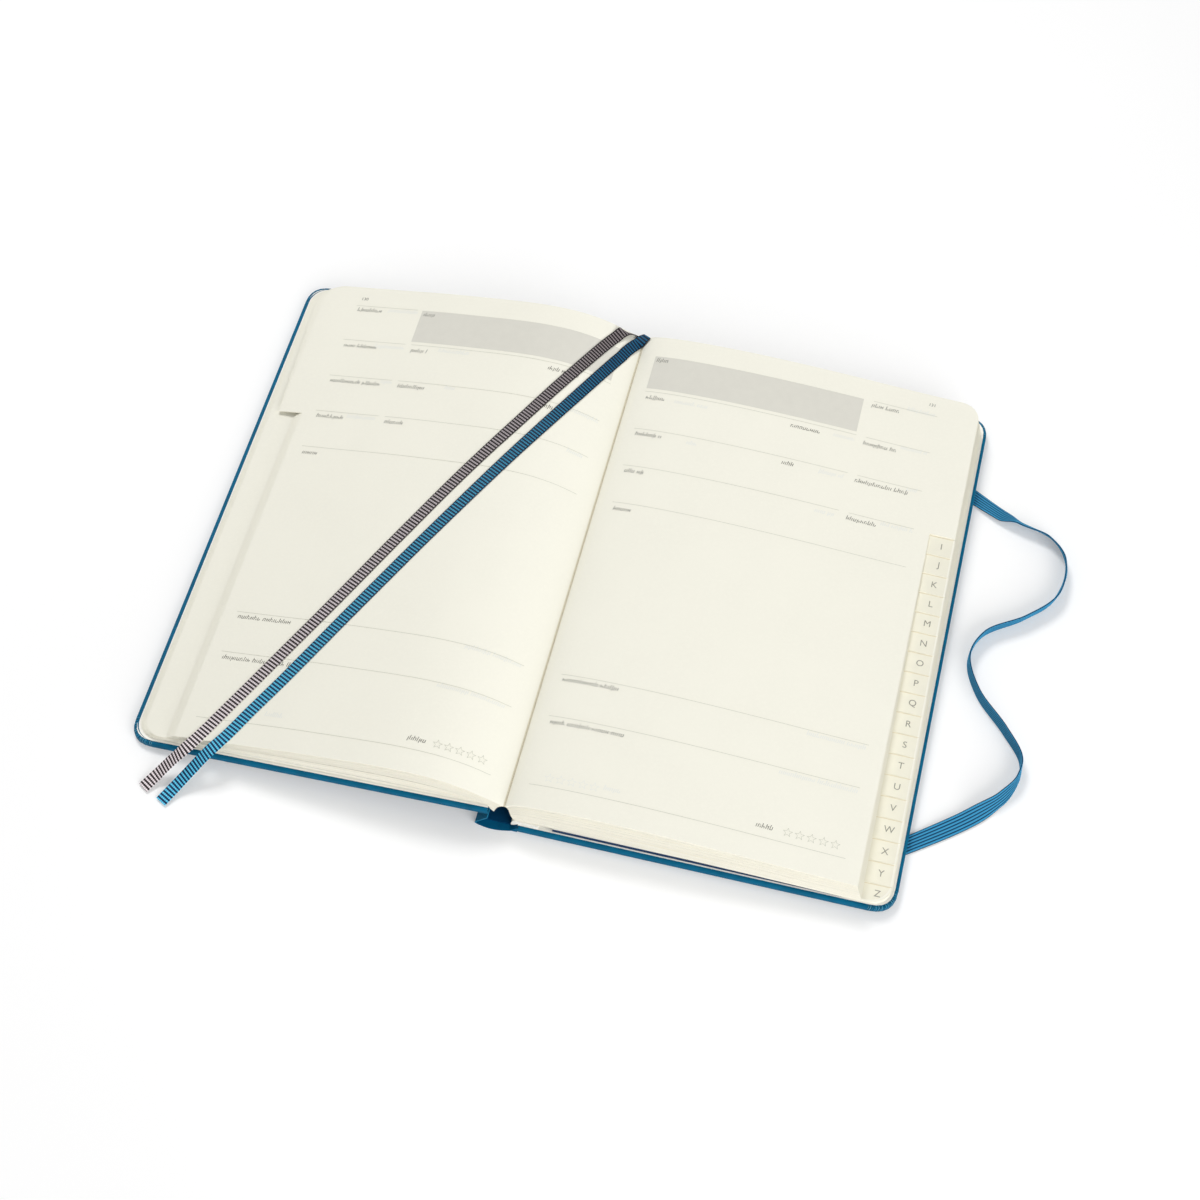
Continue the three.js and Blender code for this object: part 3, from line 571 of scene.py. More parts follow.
def ribbon_path(route, layer, width, thickness, count=1600):
    """A marker's centre line and side vectors: on the open pages, then over the tail.

    Each side of the band stands on the page under it, so its middle is the higher of the page
    and the mean of both sides, and it leans from one side to the other. At the head the upper
    marker swings into the gutter by the square of the way, lifted over the lower one, which
    runs on under it, arches up by a bell curve where it turns and leans back over the head of
    the pages. Past the tail the height is the route's, and the band levels out.
    """
    if not layer:
        route = [(-1.4, 103.8), *route]
    flat = chordal_spline([p[:2] for p in route], count)
    flat[:, 0] += layer * 4.4 * (np.maximum(flat[:, 1] - 92, 0) / 11.5) ** 2
    along = unit(np.gradient(flat, axis=0))
    side = np.stack([-along[:, 1], along[:, 0]], -1)
    x, y = flat.T
    left, right = (lying_height(x + s * side[:, 0] * width / 2) for s in (-1, 1))
    near = np.clip((y - 90) / 11, 0, 1)
    lift = thickness / 2 + 0.06 + layer * near * near * (3 - 2 * near) * (thickness + 0.12)
    arch = (1 - layer) * 0.9 * np.exp(-((y - 100.8) / 2.2) ** 2)
    page = np.maximum(lying_height(x), (left + right) / 2) + lift + arch
    place = np.linspace(0, len(route) - 1, count)
    start = sum(len(p) == 2 for p in route) - 1
    heights = [p[2] if len(p) > 2 else np.interp(i, place, page) for i, p in enumerate(route)]
    drop = chordal_spline(np.column_stack([[p[:2] for p in route], heights]), count)[:, 2]
    z = np.where(place < start, page, drop)
    z = np.where(y > -HALF_PAGE, np.maximum(z, page), z)
    level = np.clip(start + 0.5 - place, 0, 1)
    turned = (1 - layer) * np.clip((y - 100.4) / 2.6, 0, 1) ** 1.5
    z = z - turned * 1.3
    lean = (right - left) / width * level + turned * 1.3
    return np.column_stack([flat, z]), np.column_stack([side, lean])


# Materials


def feed(made, values):
    """Sets inputs of a node by name or place: a socket is linked, the rest are plain values."""
    for key, value in values.items():
        if isinstance(value, bpy.types.NodeSocket):
            made.id_data.links.new(value, made.inputs[key])
        else:
            made.inputs[key].default_value = value


def node(tree, kind, *values, out=0, stops=(), **settings):
    """Adds a node with its settings, feeds it and returns one of its outputs.

    Of the values, a dict goes to the inputs by name and the others go to them by place. The
    stops are the places and colours of a colour ramp.
    """
    made = tree.nodes.new(kind)
    for key, value in settings.items():
        setattr(made, key, value)
    for place, value in enumerate(values):
        feed(made, value if isinstance(value, dict) else {place: value})
    while len(stops) > len(made.color_ramp.elements if stops else ()):
        made.color_ramp.elements.new(0.5)
    for element, (place, value) in zip(made.color_ramp.elements if stops else (), stops):
        element.position, element.color = place, value
    return made.outputs[out]


def new_material(name, **shader):
    """A material with one Principled BSDF and plain values on its sockets."""
    material = bpy.data.materials.new(name)
    material.use_nodes = True
    surface = material.node_tree.nodes["Principled BSDF"]
    feed(surface, {key.replace("_", " "): value for key, value in shader.items()})
    return material, material.node_tree, surface


def rgba(value, scale=1.0):
    return (*(min(1.0, v * scale) for v in value), 1)


def paper_material(name, tint):
    """Uncoated offset paper: matt, mottled every 20 mm or so, with fibres of about 1 mm."""
    material, tree, surface = new_material(name, Roughness=0.85, Specular_IOR_Level=0.25)
    place = node(tree, "ShaderNodeTexCoord", out="Object")
    cloud = node(tree, "ShaderNodeTexNoise", {"Vector": place, "Scale": 45.0, "Detail": 3.0})
    fibre = node(tree, "ShaderNodeTexNoise", {"Vector": place, "Scale": 900.0, "Detail": 4.0})
    mottle = node(tree, "ShaderNodeMix", {"Factor": fibre, "A": cloud, "B": fibre},
                  out="Result", data_type="FLOAT")
    feed(surface, {
        "Base Color": node(tree, "ShaderNodeValToRGB", mottle, stops=[
            (0.3, rgba(tint, 0.99)), (0.7, rgba(tint, 1.02))]),
        "Normal": node(tree, "ShaderNodeBump", {
            "Height": fibre, "Distance": 0.03 * MM, "Strength": 0.25})})
    return material


def edge_material(tint):
    """Cut paper edges: layers of light and shade along the leaves, drawn about 0.2 mm thick
    because single leaves of 0.1 mm are too fine to show."""
    material, tree, surface = new_material(
        "cut_paper_edge", Roughness=0.9, Specular_IOR_Level=0.2)
    uv = node(tree, "ShaderNodeUVMap", uv_map="UVMap")
    stretched = node(tree, "ShaderNodeMapping", {"Vector": uv, "Scale": (12.0, 5200.0, 1.0)})
    layers = node(tree, "ShaderNodeTexNoise", {"Vector": stretched, "Scale": 1.0, "Detail": 3.0},
                  noise_dimensions="2D")
    feed(surface, {
        "Base Color": node(tree, "ShaderNodeValToRGB", layers, stops=[
            (0.28, rgba(linear("#F4EBD2"))), (0.44, rgba(tint))]),
        "Normal": node(tree, "ShaderNodeBump", {
            "Height": layers, "Distance": 0.06 * MM, "Strength": 0.5})})
    return material


def leatherette_material(name, tint, grain, pleated=False):
    """PU-coated book cloth: pebbled grain under a satin coat, a little uneven in tone."""
    roughness = 0.55
    material, tree, surface = new_material(name, Specular_IOR_Level=0.12)
    place = node(tree, "ShaderNodeTexCoord", out="Object")
    pebbles = node(tree, "ShaderNodeTexVoronoi", {
        "Vector": place, "Scale": 1 / (grain * MM)}, feature="SMOOTH_F1")
    cloud = node(tree, "ShaderNodeTexNoise", {"Vector": place, "Scale": 160.0, "Detail": 5.0})
    shade = node(tree, "ShaderNodeValToRGB", cloud, stops=[
        (0.3, rgba(tint, 0.86)), (0.72, rgba(tint, 1.22))])
    if pleated:
        shade, pebbles = pleats(tree, tint, place, shade, pebbles)
    feed(surface, {
        "Base Color": shade,
        "Roughness": node(tree, "ShaderNodeMapRange", {
            "Value": cloud, "To Min": roughness - 0.06, "To Max": roughness + 0.1}),
        "Normal": node(tree, "ShaderNodeBump", {
            "Height": pebbles, "Distance": 0.06 * MM, "Strength": 0.6})})
    return material


def pleats(tree, tint, place, shade, relief):
    """Leatherette gathered where it is turned in round a cover's corners: pleats of 0.4 to
    0.8 mm that slant as they rise, with painted shade in the folds and a painted highlight
    on the ridges.

    They follow a noise of the turn round the corner's centre plus the height, past that centre
    both ways and over the lowest 0.6 mm. Returns the shade and relief with them laid in.
    """
    x, y, z = node(tree, "ShaderNodeSeparateXYZ", place).node.outputs
    past = []
    for axis, centre in ((x, SPINE_X + COVER_W), (y, COVER_H / 2)):
        size = node(tree, "ShaderNodeMath", axis, operation="ABSOLUTE")
        past.append(node(tree, "ShaderNodeMath", size, (centre - COVER_CORNER_R) * MM,
                         operation="SUBTRACT"))
    turn = node(tree, "ShaderNodeMath", past[1], past[0], operation="ARCTAN2")
    turn = node(tree, "ShaderNodeMath", turn, 8.2, operation="MULTIPLY")
    slant = node(tree, "ShaderNodeMath", z, 260.0, operation="MULTIPLY")
    turn = node(tree, "ShaderNodeMath", turn, slant, operation="ADD")
    folds = node(tree, "ShaderNodeTexNoise", {"W": turn, "Scale": 2.6, "Detail": 2.0},
                 noise_dimensions="1D")
    corner = 1.0
    for value, least in ((past[0], -0.4 * MM), (past[1], -0.4 * MM), (z, 0.6 * MM)):
        inside = node(tree, "ShaderNodeMath", value, least, operation="GREATER_THAN")
        corner = node(tree, "ShaderNodeMath", corner, inside, operation="MULTIPLY")
    # Painted shade in the folds and a painted highlight on the ridges, up to a pale blue.
    pleat_shade_and_highlight = node(tree, "ShaderNodeValToRGB", folds, stops=[
        (0.4, rgba(tint, 0.4)), (0.5, rgba(tint)), (0.56, rgba(tint, 1.3)),
        (0.66, rgba(linear("#5E9DB8")))])
    shade = node(tree, "ShaderNodeMix", {"Factor": corner, "A": shade, "B": pleat_shade_and_highlight},
                 out="Result", data_type="RGBA")
    height = node(tree, "ShaderNodeMath", folds, corner, operation="MULTIPLY")
    height = node(tree, "ShaderNodeMath", height, 6.0, operation="MULTIPLY")
    return shade, node(tree, "ShaderNodeMath", relief, height, operation="ADD")


def cloth_material(name, tint, thread, roughness):
    """Plain-woven cloth with threads crossing at the given spacing in millimetres."""
    material, tree, surface = new_material(name, Roughness=roughness, Sheen_Weight=0.15)
    place = node(tree, "ShaderNodeTexCoord", out="Object")
    threads = [
        node(tree, "ShaderNodeTexWave", {
            "Vector": place, "Scale": math.pi / 10 / (thread * MM), "Distortion": 0.6,
            "Detail": 1.0}, out="Fac", bands_direction=axis) for axis in ("X", "Y")]
    weave = node(tree, "ShaderNodeMath", *threads, operation="MULTIPLY")
    feed(surface, {
        "Base Color": node(tree, "ShaderNodeValToRGB", weave, stops=[
            (0.0, rgba(tint, 0.75)), (0.8, rgba(tint, 1.2))]),
        "Normal": node(tree, "ShaderNodeBump", {
            "Height": weave, "Distance": 0.08 * MM, "Strength": 0.5})})
    return material


def board_material():
    """Greyboard: pressed recycled pulp with dark and light flecks of about 0.7 mm."""
    material, tree, surface = new_material("greyboard", Roughness=0.95)
    place = node(tree, "ShaderNodeTexCoord", out="Object")
    flecks = node(tree, "ShaderNodeTexNoise", {"Vector": place, "Scale": 1400.0, "Detail": 6.0})
    feed(surface, {
        "Base Color": node(tree, "ShaderNodeValToRGB", flecks, stops=[
            (0.3, rgba(linear("#77746C"))), (0.7, rgba(linear("#9C9990")))]),
        "Normal": node(tree, "ShaderNodeBump", {
            "Height": flecks, "Distance": 0.08 * MM, "Strength": 0.4})})
    return material


def ribbon_material(name, dark, light, shaded_ground, pitch):
    """Grosgrain: dark cross ribs over a lighter ground, broken into yarns 0.75 mm apart.

    The ground is dull at the head and light at its loose end, and the ribs darken towards the
    head with it: a painted sheen along the ribbon, a painted highlight at the very end. Where
    the ribbon lies in the book its woven edges are dark too. UV x is metres across, y metres
    along.
    """
    material, tree, surface = new_material(name, Roughness=0.5, Specular_IOR_Level=0.15)
    uv = node(tree, "ShaderNodeUVMap", uv_map="UVMap")
    across, along = node(tree, "ShaderNodeSeparateXYZ", uv).node.outputs[:2]
    turn = node(tree, "ShaderNodeMath", along, 2 * math.pi / (pitch * MM), operation="MULTIPLY")
    wave = node(tree, "ShaderNodeMath", turn, operation="SINE")
    between = node(tree, "ShaderNodeMapRange", {
        "Value": wave, "From Min": -0.1, "From Max": 0.25})
    turn = node(tree, "ShaderNodeMath", across, 2 * math.pi / (0.75 * MM), operation="MULTIPLY")
    yarn = node(tree, "ShaderNodeMapRange", {
        "Value": node(tree, "ShaderNodeMath", turn, operation="COSINE"),
        "From Min": -1.0, "From Max": 0.0, "To Min": 0.4})
    between = node(tree, "ShaderNodeMath", between, yarn, operation="MULTIPLY")
    inner = node(tree, "ShaderNodeMapRange", {
        "Value": node(tree, "ShaderNodeMath", across, operation="ABSOLUTE"),
        "From Min": 1.9 * MM, "From Max": 2.1 * MM, "To Min": 1.0, "To Max": 0.0})
    loose = node(tree, "ShaderNodeMapRange", {"Value": along, "From Min": 0.16, "From Max": 0.22})
    inner = node(tree, "ShaderNodeMath", inner, loose, operation="MAXIMUM")
    between = node(tree, "ShaderNodeMath", between, inner, operation="MULTIPLY")
    # Painted sheen: dull ground and darker ribs at the head, light ground brightened to a painted
    # highlight at the loose end.
    painted_sheen = node(tree, "ShaderNodeMapRange", {"Value": along, "From Min": 0.02, "From Max": 0.24})
    ribs = node(tree, "ShaderNodeValToRGB", painted_sheen, stops=[
        (0.0, rgba(dark, 0.2)), (1.0, rgba(dark, 0.9))])
    ground = node(tree, "ShaderNodeValToRGB", painted_sheen, stops=[
        (0.0, rgba(shaded_ground)), (0.75, rgba(light)), (1.0, rgba(light, 1.35))])
    feed(surface, {
        "Base Color": node(tree, "ShaderNodeMix", {"Factor": between, "A": ribs, "B": ground},
                           out="Result", data_type="RGBA"),
        "Normal": node(tree, "ShaderNodeBump", {
            "Height": wave, "Distance": 0.1 * MM, "Strength": 0.5})})
    return material


def elastic_material(tint, groove, width, ribs):
    """Braided elastic: rubber cores under polyester yarn, bright on each rib, dark between,
    with a fine cross texture of the braid every 0.5 mm."""
    material, tree, surface = new_material(
        "braided_elastic", Roughness=0.6, Specular_IOR_Level=0.15)
    uv = node(tree, "ShaderNodeUVMap", uv_map="UVMap")
    across = node(tree, "ShaderNodeSeparateXYZ", uv)
    turn = node(tree, "ShaderNodeMath", across, 2 * math.pi * ribs / (width * MM),
                operation="MULTIPLY")
    rib = node(tree, "ShaderNodeMapRange", {
        "Value": node(tree, "ShaderNodeMath", turn, operation="COSINE"),
        "From Min": 0.75, "From Max": -0.2})
    shade = node(tree, "ShaderNodeValToRGB", rib, stops=[
        (0.0, rgba(groove)), (0.85, rgba(tint))])
    braid = node(tree, "ShaderNodeTexWave", {
        "Vector": uv, "Scale": math.pi / 10 / (0.5 * MM), "Distortion": 1.0},
        bands_direction="Y").node.outputs
    feed(surface, {
        "Base Color": node(tree, "ShaderNodeMix", {
            "Factor": 0.12, "A": shade, "B": braid["Color"]}, out="Result",
            data_type="RGBA", blend_type="MULTIPLY"),
        "Normal": node(tree, "ShaderNodeBump", {
            "Height": braid["Fac"], "Distance": 0.08 * MM, "Strength": 0.4})})
    return material


def ink_material(name, tint):
    """Offset ink dried into uncoated paper: matt and slightly uneven."""
    material, tree, surface = new_material(name, Roughness=0.9, Specular_IOR_Level=0.15)
    place = node(tree, "ShaderNodeTexCoord", out="Object")
    cloud = node(tree, "ShaderNodeTexNoise", {"Vector": place, "Scale": 300.0, "Detail": 2.0})
    feed(surface, {"Base Color": node(tree, "ShaderNodeValToRGB", cloud, stops=[
        (0.3, rgba(tint, 0.985)), (0.7, rgba(tint, 1.01))])})
    return material


def sweep_material():
    """A matt white studio sweep: it shows white to the camera and keeps the shadows."""
    material, tree, surface = new_material(
        "matt_white_sweep", Roughness=1.0, Specular_IOR_Level=0.0,
        Emission_Color=(1, 1, 1, 1))
    place = node(tree, "ShaderNodeTexCoord", out="Object")
    cloud = node(tree, "ShaderNodeTexNoise", {"Vector": place, "Scale": 4.0})
    camera_ray = node(tree, "ShaderNodeLightPath", out="Is Camera Ray")
    feed(surface, {
        "Base Color": node(tree, "ShaderNodeValToRGB", cloud, stops=[
            (0.3, (0.79, 0.79, 0.79, 1)), (0.7, (0.81, 0.81, 0.81, 1))]),
        "Emission Strength": node(tree, "ShaderNodeMath", camera_ray, 0.22,
                                  operation="MULTIPLY")})
    return material


# Print


class Press:
    """Collects flat marks on the open pages, as quads and polygons just over the paper."""

    def __init__(self, side, lift=0.03):
        self.side, self.lift, self.points, self.faces = side, lift, [], []

    def add(self, xy, faces):
        start = sum(len(p) for p in self.points)
        xy = np.asarray(xy, float)
        z = page_height(self.side, xy[:, 0]) + self.lift
        self.points.append(np.column_stack([xy, z]))
        self.faces += [tuple(int(i) + start for i in f) for f in faces]

    def strip(self, x0, x1, y0, y1):
        """A rectangle in plan, cut across every 2 mm so that it follows the page."""
        count = max(2, int(abs(x1 - x0) / 2) + 2)
        xs = np.linspace(min(x0, x1), max(x0, x1), count)
        low, high = min(y0, y1), max(y0, y1)
        xy = np.stack([np.repeat(xs, 2), np.tile([low, high], count)], -1)
        k = np.arange(count - 1) * 2
        self.add(xy, np.stack([k, k + 2, k + 3, k + 1], -1))

    def rule(self, x0, x1, y, weight=0.16):
        self.strip(x0, x1, y - weight / 2, y + weight / 2)

    def marks(self, x, y, width, rng, body=1.2, pen=0.21):
        """A word-like run of open slanted strokes, which are no letters, with its foot at y.

        Each is one or two stems 0.72 mm apart, one of them sometimes tall or low, and often a
        short bar across them at the foot, the middle or the top.
        """
        at, end, run = x, x + width - 0.8, 0
        while at < end:
            kind = rng.random()
            if run > 3 and kind < 0.2:
                at, run = at + 0.7, 0
                continue
            run += 1
            tall = body * (1.5 if rng.random() < 0.34 else 1.0)
            foot = y - (0.45 if rng.random() < 0.1 else 0)
            self.stroke(at, foot, y + tall, pen)
            if kind < 0.3:
                at += 0.66
                continue
            self.stroke(at + 0.72, y, y + body * (0.55 if kind > 0.8 else 1.0), pen)
            if kind > 0.45:
                level = y + rng.choice([0, 0.45, 0.86]) * body
                lean = 0.2 * (level - y)
                self.strip(at + lean + pen, at + lean + 0.73, level, level + 0.17)
            at += 1.34

    def stroke(self, x, foot, top, pen):
        slant = 0.2 * (top - foot)
        self.add([(x, foot), (x + pen, foot), (x + pen + slant, top), (x + slant, top)],
                 [(0, 1, 2, 3)])

    def star(self, x, y, radius=1.85, pen=0.2):
        """A five-pointed star drawn as an outline."""
        turn = np.arange(10) * math.pi / 5 + math.pi / 2
        reach = np.where(np.arange(10) % 2 == 0, radius, radius * 0.42)
        ray = np.stack([np.cos(turn), np.sin(turn)], -1)
        inner = np.where(np.arange(10) % 2 == 0, radius - pen * 2.2, radius * 0.42 - pen * 0.7)
        ring = np.concatenate([ray * reach[:, None], ray * inner[:, None]])
        k = np.arange(10)
        after = (k + 1) % 10
        self.add(ring + (x, y), np.stack([k, after, after + 10, k + 10], -1))

    def stars(self, first, step, y):
        for k in range(5):
            self.star(first + step * k, y)

    def text(self, body, x, y, height):
        """Plain figures or letters, centred on a point."""
        points, faces = glyphs(body, height)
        self.add(points + (x, y), faces)

    def piece(self, name, material, body):
        made = new_object(name, np.concatenate(self.points), self.faces)
        return finish_piece(made, body, [material])


def glyphs(body, height):
    """The outlines of a few letters as flat faces, centred, scaled to a capital's height."""
    curve = bpy.data.curves.new("glyphs", "FONT")
    curve.body, curve.resolution_u = body, 3
    holder = bpy.data.objects.new("glyphs", curve)
    bpy.context.scene.collection.objects.link(holder)
    bpy.context.view_layer.update()
    mesh = bpy.data.meshes.new_from_object(holder)
    points = np.array([v.co[:2] for v in mesh.vertices]).reshape(-1, 2)
    faces = [tuple(p.vertices) for p in mesh.polygons]
    bpy.data.objects.remove(holder)
    bpy.data.curves.remove(curve)
    bpy.data.meshes.remove(mesh)
    points -= (points.min(0) + points.max(0)) / 2
    return points * (height / 0.69), faces


# Rows of the printed form. A mark is the y of its foot, its left end and its width, a rule its
# y and both ends, all on the page.
LEFT_MARKS = [
    (91, -111.4, 10.5), (73, -111.4, 12.9), (55.6, -111.4, 19.8), (38.4, -111.4, 11),
    (21, -111.4, 6.2), (-53, -111.4, 20.8), (-70.2, -111.4, 26.5), (91, -84.5, 4.2),
    (73, -84.5, 7.5), (55.6, -84.5, 10.2), (38.4, -84.5, 7.7), (73, -30.4, 12.3),
    (55.6, -28, 4.7), (-91, -36.9, 6.8),
]
RIGHT_MARKS = [
    (91, 90.4, 10.5), (73, 90.4, 12.9), (55.6, 90.4, 19.8), (38.4, 90.4, 11), (91, 7.5, 4.2),
    (73, 7.5, 7.5), (55.6, 7.5, 10.2), (38.4, 7.5, 7.7), (21, 7.5, 6.2), (-53, 7.5, 20.8),
    (-70.2, 7.5, 26.5), (73, 62.8, 12.3), (55.6, 62.9, 4.7), (-91, 83.9, 6.8),
]
LEFT_GHOSTS = [
    (91.7, -99, 12.2), (74.2, -73.7, 12.3), (73.8, -99.2, 12.1), (57, -66.3, 4.8),
    (57, -91.6, 4.8), (39.3, -99.6, 11.8), (57.4, -18.4, 11.4), (39.8, -14.7, 6.7),
    (-51.6, -27.8, 19.8), (-68.9, -32.9, 24.6), (-90.6, -88.5, 6.6),
]
RIGHT_GHOSTS = [
    (72.8, 18.4, 13.2), (73.4, 79, 7.6), (55.2, 27, 4.3), (55.7, 76.8, 9.7), (38.3, 78.7, 8.1),
    (93.3, 103.7, 11), (75.2, 104.3, 10.4), (57.4, 109.6, 5.2), (39.6, 103, 11.8),
    (-52.4, 93.7, 20.8), (-69.5, 87.4, 27.1), (-91.2, 31.5, 6.2),
]
ROWS_OF_TWO = (76.5, 58.7, 41.5)
ROWS_OF_ONE = (24.5, -50.3, -67.2, -94.3)
# Where the rest stands on each page: both ends of the title box, of the outer and inner rules
# and of the painted gutter shade, the first star and the step to the next, and the number.
FORMS = (
    {"side": -1, "body": "front_half", "name": "left", "marks": LEFT_MARKS,
     "ghosts": LEFT_GHOSTS, "ghost_stars": None, "number": ("130", -109.9, 97.2),
     "box": (-85.5, -7.0), "outer": (-112.4, -87.4), "inner": (-85, -6.8),
     "crease": (-0.2, 0.27), "stars": (-26.3, 3.875)},
    {"side": 1, "body": "back_half", "name": "right", "marks": RIGHT_MARKS,
     "ghosts": RIGHT_GHOSTS, "ghost_stars": (12.8, 3.9), "number": ("131", 112.6, 98.5),
     "box": (6.7, 87.1), "outer": (91, 115.3), "inner": (6.6, 87.3),
     "crease": (0.36, 0.66), "stars": (94.8, 4.07)},
)
STAR_ROW, GHOST_STAR_ROW, TITLE_ROW = -90.3, -91.0, (78.0, 93.6)


# Operators


class JOURNAL_OT_camera(bpy.types.Operator):
    """Sets the camera over the table at the chosen angle"""

    bl_idname = "journal.camera"
    bl_label = "Camera"

    def execute(self, context):
        stage = context.scene.journal_stage
        a, e, r = stage.azimuth, stage.elevation, stage.roll
        back = np.array([math.sin(a) * math.cos(e), -math.cos(a) * math.cos(e), math.sin(e)])
        right = unit(np.cross(UP, back))
        up = np.cross(back, right)
        axes = np.stack([
            right * math.cos(r) + up * math.sin(r), up * math.cos(r) - right * math.sin(r), back])
        camera = bpy.data.objects.new("camera", bpy.data.cameras.new("camera"))
        matrix = np.eye(4)
        matrix[:3, :3] = axes.T
        matrix[:3, 3] = np.array(stage.target) + back * stage.distance
        camera.matrix_world = Matrix(matrix.tolist())
        camera.data.lens = stage.lens
        camera.data.sensor_width = 36
        context.scene.collection.objects.link(camera)
        context.scene.camera = camera
        return {"FINISHED"}


class JOURNAL_OT_bands(bpy.types.Operator):
    """Makes the free loop of the elastic and the two ribbon markers"""

    bl_idname = "journal.bands"
    bl_label = "Elastic and ribbons"

    def execute(self, context):
        bands = context.scene.journal_bands
        centre, across = elastic_path(bands.elastic_w, bands.elastic_t)
        profile = flat_profile(bands.elastic_t, 65, bands.elastic_ribs, 0.14)
        points, faces, uvs, size = carried_band(centre, across, bands.elastic_w, profile)
        loop = new_object("elastic_band", points, faces)
        material = elastic_material(
            bands.elastic, bands.elastic_groove, bands.elastic_w, bands.elastic_ribs)
        finish_piece(loop, None, [material], uvs * MM, sharp=75,
                     nodes=("elastic_loop",))
        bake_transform(loop)
        for name in ("elastic_head_anchor", "elastic_tail_anchor"):
            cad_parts[name].data.materials.clear()
            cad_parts[name].data.materials.append(cloth_material(
                name, tuple(bands.elastic), 0.5, 0.7))
        for name, route, layer, *tints in (
            ("taupe", TAUPE_ROUTE, 0, bands.taupe_dark, bands.taupe_light, bands.taupe_shaded_end),
            ("blue", BLUE_ROUTE, 1, bands.blue_dark, bands.blue_light, bands.blue_shaded_end),
        ):
            self.ribbon(bands, name, route, layer, tints)
        return {"FINISHED"}

    def ribbon(self, bands, name, route, layer, tints):
        centre, across = ribbon_path(route, layer, bands.ribbon_w, bands.ribbon_t)
        profile = flat_profile(bands.ribbon_t, 9)
        points, faces, uvs, size = carried_band(
            centre, across, bands.ribbon_w, profile, bands.rib_pitch)
        made = new_object(name + "_marker", points, faces)
        material = ribbon_material(name + "_grosgrain", *tints, bands.rib_pitch)
        finish_piece(made, "front_half", [material], uvs * MM, sharp=75,
                     nodes=("ribbon_" + name,))


